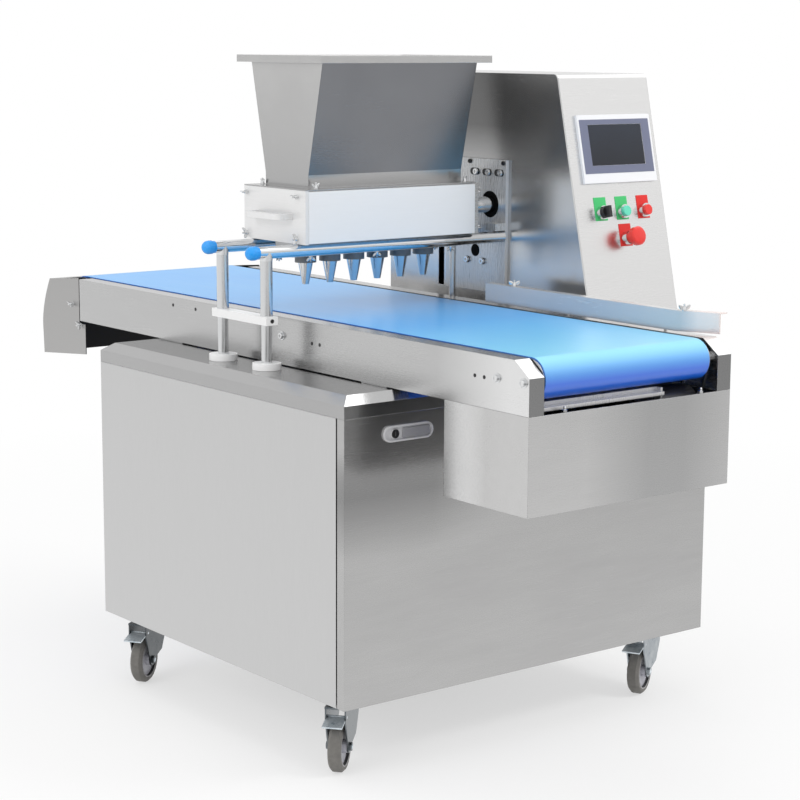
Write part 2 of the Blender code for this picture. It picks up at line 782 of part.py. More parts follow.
def build_lid():
    """Folded lid with a bevel on three sides and a square edge under the tower."""
    x = (cabinet_left, cabinet_right)
    y = (cabinet_front, cabinet_back)
    top_x = (cabinet_left + LID_BEVEL_RUN, cabinet_right)
    outside = [(lid_top, top_x, grow(y, -LID_BEVEL_RUN)), (seam_z + LID_SKIRT, x, y), (seam_z, x, y)]
    inside = [(z - SHEET if z > seam_z else z, grow(a, -SHEET), grow(b, -SHEET)) for z, a, b in outside]
    bm = bmesh.new()
    lofted(bm, [ring_at("Z", z, corners(a, b)) for z, a, b in outside + inside[::-1]])
    lid = node("top_lid", bm, "brushed steel")
    hole = bmesh.new()
    rod(hole, (*cable_hole(), lid_top - OVERRUN), (0, 0, 1), CABLE_HOLE_RADIUS, 2 * OVERRUN, ROUND_SIDES)
    cut(lid, hole)


def cable_hole():
    """Place of the cable hole between the tower and the cabinet."""
    return (tower_right - CABLE_HOLE_INSET, tower_back - CABLE_HOLE_INSET)


def build_front_panel():
    """Lift-off front panel: a folded tray with two hooks over the lower pins."""
    x = (cabinet_left, cabinet_right)
    z = (FLOOR_CLEARANCE, seam_z - GAP)
    axis_y = cabinet_front + PIN_SETBACK
    axis_z = FLOOR_CLEARANCE + PIN_RISE
    bm = bmesh.new()
    tray(bm, "Y", cabinet_front, cabinet_front + PANEL_RETURN, corners(x, z))
    panel = node("front_panel", bm, "brushed steel", origin=(0, axis_y, axis_z))
    hooks = bmesh.new()
    bores = bmesh.new()
    for sign in (-1, 1):
        hook_y = side(cabinet_front, 1, SHEET - WELD, HOOK_DEPTH)
        hook_z = side(FLOOR_CLEARANCE, 1, SHEET - WELD, HOOK_HEIGHT)
        block(hooks, around(sign * HOOK_OFFSET, HOOK_WIDTH), hook_y, hook_z)
        start = (sign * HOOK_OFFSET - HOOK_WIDTH, axis_y, axis_z)
        rod(bores, start, (1, 0, 0), PIN_RADIUS + PIN_CLEARANCE, 2 * HOOK_WIDTH)
    join(panel, hooks)
    cut(panel, bores)
    window = bmesh.new()
    outline = stadium(latch_centre(), *latch_recess(), SMALL_SIDES)
    extruded(window, "Y", grow((cabinet_front, cabinet_front + SHEET), OVERRUN), outline)
    cut(panel, window)
    return panel


def latch_centre():
    """Place of the latch on the front panel."""
    return (cabinet_left + LATCH_INSET, seam_z - LATCH_DROP)


def latch_recess():
    """Length and height of the recess in the latch."""
    return (LATCH_LENGTH - 2 * LATCH_RIM, LATCH_HEIGHT - 2 * LATCH_RIM)


def build_latch(panel):
    """Latch housing with its key cylinder, and the lever that pops out of it."""
    centre = latch_centre()
    length, height = latch_recess()
    face = cabinet_front - GAP
    floor = face - LATCH_FLOOR
    outer = stadium(centre, LATCH_LENGTH, LATCH_HEIGHT, SMALL_SIDES)
    inner = stadium(centre, length, height, SMALL_SIDES)
    path = [(face, outer), (face - LATCH_THICKNESS, outer), (face - LATCH_THICKNESS, inner), (floor, inner)]
    bm = bmesh.new()
    lofted(bm, [ring_at("Y", place, outline) for place, outline in path])
    housing = node("latch_housing", bm, "polished steel", origin=(centre[0], face, centre[1]), parent=panel)
    fittings = bmesh.new()
    cam_box = stadium(centre, length - 2 * GAP, height - 2 * GAP, SMALL_SIDES)
    extruded(fittings, "Y", (face - WELD, face + LATCH_BOX_DEPTH), cam_box)
    key = (centre[0] - KEY_SPACING, floor + WELD, centre[1])
    rod(fittings, key, (0, -1, 0), KEY_RADIUS, KEY_LENGTH, ROUND_SIDES)
    join(housing, fittings)
    right = centre[0] + length / 2 - LEVER_END_GAP
    y = side(floor, -1, GAP, GAP + LEVER_THICKNESS)
    lever = bmesh.new()
    block(lever, (right - LEVER_LENGTH, right), y, around(centre[1], LEVER_HEIGHT))
    node("latch_lever", lever, "polished steel", origin=(right, y[0], centre[1]), parent=panel)


def build_control_tray():
    """Mounting tray on the cabinet floor with the two drives and the supply on it."""
    floor = FLOOR_CLEARANCE + ANGLE_WALL + SHEET + GAP
    bm = bmesh.new()
    tray(bm, "Z", floor, floor + TRAY_RIM, corners(around(0, TRAY_WIDTH), around(head_y, TRAY_DEPTH)))
    mounting = node("control_tray", bm, "zinc")
    drives = bmesh.new()
    for i in (-1, 0, 1):
        height = (floor + SHEET - WELD, floor + DRIVE_HEIGHT)
        block(drives, around(i * DRIVE_PITCH, DRIVE_WIDTH), around(head_y, DRIVE_DEPTH), height)
    join(mounting, drives)


def rail_outline(extra):
    """Side outline of a rail, with an extra length at its back end."""
    back = rail_back + extra
    return [
        (front_y, rail_base), (back, rail_base), (back, rail_top),
        (front_y + NOSE_RUN, rail_top), (front_y, rail_top - NOSE_RISE),
    ]


def build_rail(name, outer, inward):
    """Folded rail with a chamfered nose, a bearing boss in front and a take-up plate at the back."""
    bm = bmesh.new()
    extruded(bm, "X", side(outer, inward, 0, RAIL_FLANGE), rail_outline(0))
    rail = node(name, bm, "brushed steel")
    hollow = bmesh.new()
    outline = shrunk(rail_outline(OVERRUN), SHEET)
    extruded(hollow, "X", side(outer, inward, SHEET, RAIL_FLANGE + OVERRUN), outline)
    cut(rail, hollow)
    bolts = bmesh.new()
    boss = (outer + inward * (SHEET - WELD), drive_y, roller_z)
    rod(bolts, boss, (inward, 0, 0), BEARING_RADIUS, BEARING_THICKNESS, ROUND_SIDES)
    for middle in (cabinet_front + LID_BEVEL_RUN + PAD_INSET, cabinet_back - LID_BEVEL_RUN - PAD_INSET):
        pad_x = side(outer, inward, WELD, RAIL_FLANGE - WELD)
        block(bolts, pad_x, around(middle, PAD_LENGTH), (lid_top + GAP, rail_base + WELD))
    for reach in RAIL_BOLTS:
        start = (outer + inward * WELD, front_y + reach, rail_top - RAIL_BOLT_DROP)
        rod(bolts, start, (-inward, 0, 0), RAIL_BOLT_RADIUS, RAIL_BOLT_HEIGHT)
    for inset in (TAKE_UP_BOLT_INSET, TAKE_UP_LAP - TAKE_UP_BOLT_INSET):
        start = (outer + inward * WELD, rail_back - inset, roller_z)
        rod(bolts, start, (inward, 0, 0), RAIL_BOLT_RADIUS, SHEET + GAP)
    join(rail, bolts)
    plate = bmesh.new()
    plate_y = (rail_back - TAKE_UP_LAP, idler_y + TAKE_UP_HEIGHT / 2)
    plate_x = side(outer, inward, SHEET + GAP, SHEET + GAP + TAKE_UP_THICKNESS)
    block(plate, plate_x, plate_y, around(roller_z, TAKE_UP_HEIGHT))
    join(rail, plate)
    if inward < 0:
        stanchion = bmesh.new()
        start = (stanchion_x, head_y, rail_top - WELD)
        rod(stanchion, start, (0, 0, 1), STANCHION_RADIUS, STANCHION_HEIGHT)
        join(rail, stanchion)
    holes = bmesh.new()
    for y in (drive_y, idler_y):
        start = (outer + inward * (SHEET + GAP / 2), y, roller_z)
        rod(holes, start, (inward, 0, 0), SHAFT_RADIUS + SHAFT_CLEARANCE, RAIL_FLANGE, ROUND_SIDES)
    for reach, drop in RAIL_HOLES:
        start = (outer - inward * OVERRUN, front_y + reach, rail_top - drop)
        rod(holes, start, (inward, 0, 0), RAIL_HOLE_RADIUS, OVERRUN + SHEET + WELD, SMALL_SIDES // 2)
    cut(rail, holes)


def build_bed():
    """Slider bed under the upper run, welded on four cross bars between the rails."""
    top = roller_z + ROLLER_RADIUS - GAP
    x = grow((belt_left, belt_right), -BED_EDGE_GAP)
    y = (drive_y + ROLLER_RADIUS + BED_END_GAP, idler_y - ROLLER_RADIUS - BED_END_GAP)
    outline = [
        (x[0], top - BED_LIP), (x[0] + SHEET, top - BED_LIP), (x[0] + SHEET, top - SHEET),
        (x[1] - SHEET, top - SHEET), (x[1] - SHEET, top - BED_LIP), (x[1], top - BED_LIP),
        (x[1], top), (x[0], top),
    ]
    bm = bmesh.new()
    extruded(bm, "Y", y, outline)
    bed = node("bed_plate", bm, "brushed steel")
    bars = bmesh.new()
    bar_top = top - BED_LIP + WELD
    bar_x = grow((rail_left, rail_right), -SHEET - GAP)
    first, last = front_y + CROSS_BAR_INSET, rail_back - CROSS_BAR_INSET
    for share in CROSS_BAR_SHARES:
        middle = first + share * (last - first)
        outer = corners(around(middle, CROSS_BAR_WIDTH), (bar_top - CROSS_BAR_HEIGHT, bar_top))
        pierced(bars, "X", bar_x, outer, shrunk(outer, CROSS_BAR_WALL))
    join(bed, bars)


def build_belt():
    """Endless belt around both rollers."""
    wheels = ((drive_y, roller_z), (idler_y, roller_z))
    inner = belt_line(*wheels, ROLLER_RADIUS + GAP, ROUND_SIDES)
    outer = belt_line(*wheels, ROLLER_RADIUS + GAP + BELT_THICKNESS, ROUND_SIDES)
    bm = bmesh.new()
    pierced(bm, "X", (belt_left, belt_right), outer, inner)
    node("conveyor_belt", bm, "blue belt")


def build_rollers():
    """Drive roller with its sprocket at the front, and the idler in the hood."""
    start, end = grow((rail_left, rail_right), -SHEET - 2 * GAP)
    left = belt_left - start - ROLLER_END_GAP
    right = belt_right - start + ROLLER_END_GAP
    near, far = around(sprocket_x - start, SPROCKET_THICKNESS)
    drum = [(0, 0), (SHAFT_RADIUS, 0), (SHAFT_RADIUS, left), (ROLLER_RADIUS, left)]
    drum += [(ROLLER_RADIUS, right), (SHAFT_RADIUS, right)]
    wheel = [(SHAFT_RADIUS, near), (SPROCKET_RADIUS, near), (SPROCKET_RADIUS, far), (SHAFT_RADIUS, far)]
    tail = [(SHAFT_RADIUS, end - start), (0, end - start)]
    rollers = (("drive_roller", drive_y, drum + wheel + tail), ("idler_roller", idler_y, drum + tail))
    for name, y, profile in rollers:
        bm = bmesh.new()
        turned(bm, (start, y, roller_z), (1, 0, 0), profile, FINE_SIDES)
        node(name, bm, "polished steel", origin=(CONVEYOR_X, y, roller_z))


def build_end_guard():
    """Folded hood over the idler, open below, in front and over the belt."""
    low = rail_base - HOOD_DROP
    top = rail_top + HOOD_RISE
    step = rail_base - HOOD_STEP_DROP
    back = rail_back + HOOD_REACH
    crown = (rail_back + HOOD_TOP_LENGTH, top - HOOD_FALL)
    belly = (back, low + HOOD_BELLY)
    control = (back, belly[1] + HOOD_BULGE_SHARE * (crown[1] - belly[1]))
    toe = (rail_back - HOOD_LAP, low + HOOD_TOE_RISE)
    outline = [toe, (toe[0], step), (rail_back + HOOD_STEP_GAP, step)]
    outline += [(rail_back + HOOD_STEP_GAP, top)] + bend(crown, control, belly, HOOD_STEPS)
    outline += [(back - HOOD_HEEL, low)]
    bm = bmesh.new()
    extruded(bm, "X", (rail_left, rail_right), outline)
    hood = node("end_guard", bm, "brushed steel")
    inner = shrunk(outline, SHEET)
    mouth = rail_back - HOOD_LAP - OVERRUN
    hollow = [(mouth, low - OVERRUN), (mouth, inner[3][1])] + inner[3:-1] + [(inner[-1][0], low - OVERRUN)]
    inside = bmesh.new()
    inside_x = grow((rail_left, rail_right), -SHEET)
    extruded(inside, "X", inside_x, hollow)
    cut(hood, inside)
    window = bmesh.new()
    block(window, inside_x, (mouth, rail_back + HOOD_STEP_GAP + HOOD_WINDOW), (top - OVERRUN, top + OVERRUN))
    cut(hood, window)


def build_drive_box():
    """Open box under the drive roller that catches crumbs and holds the motor bracket."""
    bm = bmesh.new()
    outline = corners((rail_left, rail_right), (front_y, front_y + PAN_LENGTH))
    tray(bm, "Z", pan_top - PAN_DEPTH, pan_top, outline)
    node("drive_box", bm, "brushed steel")


def build_motor():
    """Geared motor on its bracket, with the chain that turns the drive roller."""
    y = side(front_y + BEAM_SETBACK, 1, 0, BEAM_WIDTH)
    base = rail_base + SHEET + GAP
    top = base + BEAM_HEIGHT
    step = (y[0] + BEAM_WIDTH * BEAM_STEP_SHARE, base + BEAM_HEIGHT * BEAM_STEP_SHARE)
    outline = [(y[0], base), (y[1], base), (y[1], top), (step[0], top), step, (y[0], step[1])]
    plate_x = side(motor_left, -1, GAP, GAP + MOUNT_THICKNESS)
    bm = bmesh.new()
    extruded(bm, "X", (rail_left + SHEET + GAP, plate_x[0] + WELD), outline)
    bracket = node("motor_bracket", bm, "brushed steel")
    plate = bmesh.new()
    block(plate, plate_x, around(motor_y, MOUNT_WIDTH), (motor_z - MOTOR_RADIUS, top - WELD))
    join(bracket, plate)
    tail = sprocket_x + SPROCKET_THICKNESS / 2 - motor_left
    near = tail - SPROCKET_THICKNESS
    profile = [(0, 0), (MOTOR_RADIUS, 0), (MOTOR_RADIUS, MOTOR_LENGTH), (MOTOR_SHAFT_RADIUS, MOTOR_LENGTH)]
    profile += [(MOTOR_SHAFT_RADIUS, near), (SPROCKET_RADIUS, near), (SPROCKET_RADIUS, tail), (0, tail)]
    motor = bmesh.new()
    turned(motor, (motor_left, motor_y, motor_z), (1, 0, 0), profile, ROUND_SIDES)
    node("belt_gearmotor", motor, "black paint")
    wheels = ((motor_y, motor_z), (drive_y, roller_z))
    inner = belt_line(*wheels, SPROCKET_RADIUS + GAP, SMALL_SIDES)
    outer = belt_line(*wheels, SPROCKET_RADIUS + GAP + CHAIN_THICKNESS, SMALL_SIDES)
    chain = bmesh.new()
    pierced(chain, "X", around(sprocket_x, CHAIN_WIDTH), outer, inner)
    node("drive_chain", chain, "zinc")


def build_side_guard():
    """Side guard with a flared end, standing on two posts on the far rail."""
    x = rail_right - GUARD_INSET
    start = front_y + GUARD_START
    path = [(x, start + GUARD_LENGTH), (x, start), (x + FLARE_OFFSET, start - FLARE_LENGTH)]
    low = rail_top + GUARD_LIFT
    high = low + GUARD_HEIGHT
    section = [(0, low), (SHEET, low), (SHEET, high - SHEET), (GUARD_FLANGE, high - SHEET)]
    section += [(GUARD_FLANGE, high), (0, high)]
    bm = bmesh.new()
    lofted(bm, [[(at[0] + across, at[1], z) for across, z in section] for at in path])
    guard = node("chain_guard", bm, "brushed steel")
    posts = bmesh.new()
    for reach in GUARD_POSTS:
        place = (x + GUARD_POST_OFFSET, start + reach * GUARD_LENGTH, rail_top + GAP)
        rod(posts, place, (0, 0, 1), GUARD_POST_RADIUS, GUARD_LIFT + GUARD_HEIGHT - SHEET)
    join(guard, posts)


def tower_outline():
    """Side outline of the tower."""
    outline = [
        (tower_front, tower_base), (tower_back, tower_base), (tower_back, tower_top),
        (tower_front + TOWER_LEAN, tower_top),
    ]
    return rounded(outline, 3, TOWER_CORNER)


def on_tower_front(place):
    """Frame on the leaning front of the tower: X across, Y up the slope, Z outward."""
    up = (0, sin(tower_lean), cos(tower_lean))
    out = (0, -cos(tower_lean), sin(tower_lean))
    axes = Matrix(((1, 0, 0), up, out)).transposed().to_4x4()
    foot = Matrix.Translation((tower_left, tower_front, tower_base))
    return foot @ axes @ Matrix.Translation((*place, 0))


def build_tower():
    """Folded tower shell, open on its left side, and the side plate with the slots of the lift."""
    bm = bmesh.new()
    mouth = tower_left + TOWER_SIDE + GAP
    tray(bm, "X", tower_right, mouth, tower_outline())
    shell = node("tower_shell", bm, "brushed steel")
    hole = bmesh.new()
    rod(hole, (*cable_hole(), tower_base - OVERRUN), (0, 0, 1), CABLE_HOLE_RADIUS, 2 * OVERRUN, ROUND_SIDES)
    cut(shell, hole)
    openings = bmesh.new()
    depth = grow((-SHEET, 0), OVERRUN)
    body = [grow(around(middle, size), GAP - PANEL_BODY_INSET)
            for middle, size in zip(PANEL_CENTRE, (PANEL_WIDTH, PANEL_HEIGHT))]
    block(openings, *body, depth)
    for place in (SELECTOR_PLACE, GREEN_PLACE, RED_PLACE, STOP_PLACE):
        rod(openings, (*place, depth[0]), (0, 0, 1), NECK_RADIUS + GAP, depth[1] - depth[0], ROUND_SIDES)
    cut(shell, openings, on_tower_front((0, 0)))
    plate = bmesh.new()
    plate_x = (tower_left, tower_left + TOWER_SIDE)
    extruded(plate, "X", plate_x, tower_outline())
    side_plate = node("tower_side_plate", plate, "brushed steel")
    slots = bmesh.new()
    slot_x = grow(plate_x, OVERRUN)
    spigot_z = (rotor_z - LIFT_DOWN, rotor_z + LIFT_UP)
    block(slots, slot_x, grow((drive_rotor_y, drive_rotor_y), CARRIAGE_HOLE + SLOT_PLAY),
          grow(spigot_z, CARRIAGE_HOLE + SLOT_PLAY))
    block(slots, slot_x, grow(around(slider_y, SLIDER_LENGTH), SLOT_PLAY),
          grow(spigot_z, SLIDER_HEIGHT / 2 + SLOT_PLAY))
    rear = carriage_front + CARRIAGE_LENGTH + REAR_SLOT_GAP
    block(slots, slot_x, (rear, rear + REAR_SLOT_WIDTH), (carriage_base, carriage_base + REAR_SLOT_HEIGHT))
    cut(side_plate, slots)


def build_touch_panel():
    """Touch panel: bezel on the tower front, with a recess for the screen and a body through the cutout."""
    frame = on_tower_front(PANEL_CENTRE)
    bm = bmesh.new()
    block(bm, around(0, PANEL_WIDTH), around(0, PANEL_HEIGHT), (GAP, PANEL_THICKNESS))
    panel = node("touch_panel", bm, "grey plastic", frame=frame)
    body = bmesh.new()
    body_x = grow(around(0, PANEL_WIDTH), -PANEL_BODY_INSET)
    body_y = grow(around(0, PANEL_HEIGHT), -PANEL_BODY_INSET)
    block(body, body_x, body_y, (-PANEL_BODY_DEPTH, GAP + WELD))
    join(panel, body, frame)
    recess = bmesh.new()
    recess_z = side(PANEL_THICKNESS, 1, -SCREEN_RECESS, OVERRUN)
    block(recess, around(0, SCREEN_WIDTH), around(SCREEN_SHIFT, SCREEN_HEIGHT), recess_z)
    cut(panel, recess, frame)


def build_switch_block():
    """Switch block behind the tower front, with the four rings that hold the switches."""
    frame = on_tower_front((0, 0))
    bm = bmesh.new()
    x = grow((SELECTOR_PLACE[0], RED_PLACE[0]), SWITCH_MARGIN)
    y = grow((STOP_PLACE[1], SELECTOR_PLACE[1]), SWITCH_MARGIN)
    block(bm, x, y, (-SWITCH_DEPTH - SHEET, -SWITCH_DEPTH))
    switches = node("switch_block", bm, "black plastic", frame=frame)
    rings = bmesh.new()
    for place in (SELECTOR_PLACE, GREEN_PLACE, RED_PLACE, STOP_PLACE):
        height = STOP_BEZEL_HEIGHT if place == STOP_PLACE else BEZEL_HEIGHT
        profile = [
            (NECK_BORE, -SWITCH_DEPTH - WELD), (NECK_RADIUS, -SWITCH_DEPTH - WELD), (NECK_RADIUS, GAP),
            (BEZEL_RADIUS, GAP), (BEZEL_RADIUS, height), (BEZEL_BORE, height), (BEZEL_BORE, BEZEL_FLOOR),
            (NECK_BORE, BEZEL_FLOOR),
        ]
        turned(rings, (*place, 0), (0, 0, 1), profile, ROUND_SIDES)
    join(switches, rings, frame)


def build_switches():
    """Selector knob, two push buttons and the mushroom stop button."""
    stem = STOP_TRAVEL + 2 * GAP - SWITCH_DEPTH
    low = BEZEL_FLOOR + STOP_TRAVEL + GAP
    foot = [(0, stem), (STEM_RADIUS, stem), (STEM_RADIUS, low), (CAP_RADIUS, low)]
    cap = foot + [(CAP_RADIUS, BUTTON_FACE - CAP_CHAMFER), (CAP_RADIUS - CAP_CHAMFER, BUTTON_FACE)]
    cap += [(0, BUTTON_FACE)]
    top = STOP_NECK + STOP_HEAD_HEIGHT
    mushroom = foot + [(CAP_RADIUS, STOP_NECK), (STOP_HEAD_RADIUS, STOP_NECK + STOP_EDGE)]
    mushroom += [(STOP_HEAD_RADIUS, top - 2 * STOP_EDGE), (STOP_HEAD_RADIUS - STOP_EDGE, top - STOP_EDGE)]
    mushroom += [(0, top)]
    shapes = (
        ("selector_knob", SELECTOR_PLACE, cap, "black plastic"),
        ("green_button", GREEN_PLACE, cap, "green plastic"),
        ("red_button", RED_PLACE, cap, "red plastic"),
        ("estop_button", STOP_PLACE, mushroom, "red plastic"),
    )
    for name, place, profile, finish in shapes:
        bm = bmesh.new()
        turned(bm, (0, 0, 0), (0, 0, 1), profile, ROUND_SIDES)
        frame = on_tower_front(place)
        button = node(name, bm, finish, frame=frame)
        if name == "selector_knob":
            grip = bmesh.new()
            block(grip, around(0, GRIP_WIDTH), around(0, GRIP_LENGTH), (GRIP_BASE, GRIP_TOP))
            join(button, grip, frame)


def build_posts():
    """Two guide posts on feet on the lid, and the yoke that slides over them."""
    foot_z = lid_top + GAP
    reach = post_top - foot_z
    profile = [(0, 0), (FOOT_RADIUS, 0), (FOOT_RADIUS, FOOT_HEIGHT), (POST_RADIUS, FOOT_HEIGHT)]
    profile += [(POST_RADIUS, reach), (0, reach)]
    for name, y in zip(("post_front", "post_back"), rod_ys):
        bm = bmesh.new()
        turned(bm, (post_x, y, foot_z), (0, 0, 1), profile, ROUND_SIDES)
        node(name, bm, "polished steel")


def build_yoke(head):
    """Link and two sleeves that join the outer ends of the slide rods to the guide posts."""
    bm = bmesh.new()
    top = rod_z - ROD_RADIUS - GAP
    link_z = side(link_base, 1, 0, LINK_HEIGHT)
    block(bm, around(post_x, LINK_WIDTH), around(head_y, LINK_LENGTH), link_z)
    yoke = node("post_yoke", bm, "polished steel", parent=head)
    sleeves = bmesh.new()
    bores = bmesh.new()
    for y in rod_ys:
        start = link_z[1] - WELD
        rod(sleeves, (post_x, y, start), (0, 0, 1), SLEEVE_RADIUS, top - start, ROUND_SIDES)
        bore = POST_RADIUS + SLEEVE_CLEARANCE
        depth = top - link_base + 2 * OVERRUN
        rod(bores, (post_x, y, link_base - OVERRUN), (0, 0, 1), bore, depth, ROUND_SIDES)
    join(yoke, sleeves)
    cut(yoke, bores)


def build_slide_rods(head):
    """Two slide rods with ball ends."""
    length = carriage_x - GAP - rod_left
    turns = [-pi / 2 + i * (pi / 2) / BALL_STEPS for i in range(BALL_STEPS + 1)]
    profile = [(BALL_RADIUS * cos(t) if t > -pi / 2 else 0, BALL_RADIUS * sin(t)) for t in turns]
    profile += [(BALL_RADIUS, BALL_RADIUS / 2), (ROD_RADIUS, BALL_RADIUS / 2)]
    profile += [(ROD_RADIUS, length), (0, length)]
    for name, y in zip(("slide_rod_front", "slide_rod_back"), rod_ys):
        bm = bmesh.new()
        turned(bm, (rod_left, y, rod_z), (1, 0, 0), profile, ROUND_SIDES)
        node(name, bm, "polished steel", parent=head)


def build_carriage():
    """Carriage plate beside the tower, with its bolts, saddle, slider block and piston."""
    x = (carriage_x, carriage_x + CARRIAGE_THICKNESS)
    y = (carriage_front, carriage_front + CARRIAGE_LENGTH)
    bm = bmesh.new()
    block(bm, x, y, (carriage_base, carriage_top))
    carriage = node("carriage_plate", bm, "brushed steel", origin=(carriage_x, head_y, rotor_z))
    fittings = bmesh.new()
    spots = [(y[0] + setback, carriage_top - TOP_BOLT_DROP) for setback in TOP_BOLT_SETBACKS]
    spots += [(y[0] + setback, carriage_base + LOWER_BOLT_RISE) for setback in LOWER_BOLT_SETBACKS]
    for spot in spots:
        rod(fittings, (carriage_x + WELD, *spot), (-1, 0, 0), HEAD_BOLT_RADIUS, HEAD_BOLT_HEIGHT)
    saddle_z = side(housing_base, 1, 0, SADDLE_HEIGHT)
    block(fittings, (carriage_x - SADDLE_LENGTH, carriage_x + WELD), (y[0], y[0] + SADDLE_WIDTH), saddle_z)
    slider_x = (x[1] - WELD, tower_left + SLIDER_DEPTH)
    block(fittings, slider_x, around(slider_y, SLIDER_LENGTH), around(rotor_z, SLIDER_HEIGHT))
    join(carriage, fittings)
    piston = bmesh.new()
    slider_base = rotor_z - SLIDER_HEIGHT / 2
    rod(piston, (guide_x, piston_y, slider_base + WELD), (0, 0, -1), PISTON_RADIUS, PISTON_LENGTH)
    join(carriage, piston)
    holes = bmesh.new()
    start = x[0] - OVERRUN
    through = CARRIAGE_THICKNESS + 2 * OVERRUN
    rod(holes, (start, drive_rotor_y, rotor_z), (1, 0, 0), CARRIAGE_HOLE, through, FINE_SIDES)
    lower = (start, y[0] + LOWER_HOLE_SETBACK, carriage_base + LOWER_HOLE_RISE)
    rod(holes, lower, (1, 0, 0), LOWER_HOLE, through, ROUND_SIDES)
    guide = (guide_x, guide_y, slider_base - OVERRUN)
    rod(holes, guide, (0, 0, 1), GUIDE_RADIUS + GUIDE_CLEARANCE, SLIDER_HEIGHT + 2 * OVERRUN, ROUND_SIDES)
    cut(carriage, holes)
    return carriage


def build_lift_unit():
    """Guide rod and lift cylinder on their base plate on the tower floor."""
    floor = tower_base + SHEET + GAP
    x = around(guide_x + LIFT_BASE_MARGIN / 2, 2 * LIFT_BASE_MARGIN)
    y = grow((guide_y, piston_y), LIFT_BASE_MARGIN)
    bm = bmesh.new()
    block(bm, (tower_left + TOWER_SIDE + 2 * GAP + SHEET, x[1]), y, (floor, floor + LIFT_BASE_THICKNESS))
    lift = node("lift_unit", bm, "zinc")
    start = floor + LIFT_BASE_THICKNESS - WELD
    bars = bmesh.new()
    guide_length = tower_top - GUIDE_TOP_GAP - start
    rod(bars, (guide_x, guide_y, start), (0, 0, 1), GUIDE_RADIUS, guide_length, ROUND_SIDES)
    bore = PISTON_RADIUS + GUIDE_CLEARANCE
    cup = [(0, 0), (CYLINDER_RADIUS, 0), (CYLINDER_RADIUS, CYLINDER_HEIGHT), (bore, CYLINDER_HEIGHT)]
    cup += [(bore, CYLINDER_FLOOR), (0, CYLINDER_FLOOR)]
    turned(bars, (guide_x, piston_y, start), (0, 0, 1), cup, ROUND_SIDES)
    join(lift, bars)


def turning_bore(radius, sides):
    """Corner radius of a faceted bore whose flats stay clear of a shaft that turns in it."""
    return (radius + SHAFT_CLEARANCE) / cos(pi / sides)


def build_feed_drive(head):
    """Geared motor of the pump, on the carriage, with its spigot around the drive shaft."""
    left = tower_left + TOWER_SIDE + GEARBOX_GAP
    bm = bmesh.new()
    square = (around(drive_rotor_y, GEARBOX_SIZE), around(rotor_z, GEARBOX_SIZE))
    block(bm, (left, left + GEARBOX_LENGTH), *square)
    gearbox = node("feed_gearmotor", bm, "black paint", parent=head)
    fittings = bmesh.new()
    spigot = (carriage_x + GAP, drive_rotor_y, rotor_z)
    rod(fittings, spigot, (1, 0, 0), CARRIAGE_HOLE - GAP, left + WELD - spigot[0], FINE_SIDES)
    motor = (left + GEARBOX_LENGTH / 2, drive_rotor_y, rotor_z + GEARBOX_SIZE / 2 - WELD)
    rod(fittings, motor, (0, 0, 1), FEED_MOTOR_RADIUS, FEED_MOTOR_LENGTH, ROUND_SIDES)
    join(gearbox, fittings)
    bore = bmesh.new()
    start = (spigot[0] - OVERRUN, drive_rotor_y, rotor_z)
    length = housing_right + DRIVE_SHAFT_REACH - start[0] + GAP
    rod(bore, start, (1, 0, 0), turning_bore(DRIVE_SHAFT_RADIUS, ROUND_SIDES), length, ROUND_SIDES)
    cut(gearbox, bore)


def build_pump_housing(head):
    """Pump housing with two rotor bores that meet, a feed slot above and an outlet slot below."""
    bm = bmesh.new()
    block(bm, (housing_left, housing_right), (housing_front, housing_back), (housing_base, housing_top))
    housing = node("pump_housing", bm, "brushed steel", parent=head)
    bores = bmesh.new()
    start = housing_left - OVERRUN
    for y in (drive_rotor_y, driven_rotor_y):
        depth = HOUSING_LENGTH + OVERRUN - END_WALL
        rod(bores, (start, y, rotor_z), (1, 0, 0), rotor_bore, depth, FINE_SIDES)
    cut(housing, bores)
    slots = bmesh.new()
    x = grow((housing_left, housing_right), -FEED_INSET)
    block(slots, x, around(head_y, FEED_WIDTH), (rotor_z, housing_top + OVERRUN))
    cut(housing, slots)
    outlet = bmesh.new()
    block(outlet, manifold_limits(), around(head_y, MANIFOLD_WIDTH), (housing_base - OVERRUN, rotor_z))
    for y, radius in ((drive_rotor_y, DRIVE_SHAFT_RADIUS), (driven_rotor_y, STUB_RADIUS)):
        start = (housing_right - END_WALL - OVERRUN, y, rotor_z)
        bore = turning_bore(radius, ROUND_SIDES)
        rod(outlet, start, (1, 0, 0), bore, END_WALL + 2 * OVERRUN, ROUND_SIDES)
    cut(housing, outlet)


def manifold_limits():
    """Limits along X of the slot that feeds every nozzle."""
    return around(nozzle_x, NOZZLE_PITCH * (NOZZLE_COUNT - 1) + MANIFOLD_WIDTH)


def rotor_outline(centre, sign):
    """Lobed outline of a rotor; the two rotors face each other lobe to valley."""
    count = LOBE_COUNT * LOBE_POINTS
    points = []
    for i in range(count):
        turn = 2 * pi * i / count
        radius = lobe_mean + sign * LOBE_DEPTH * cos(LOBE_COUNT * turn)
        points.append((centre[0] + radius * cos(turn), centre[1] + radius * sin(turn)))
    return points


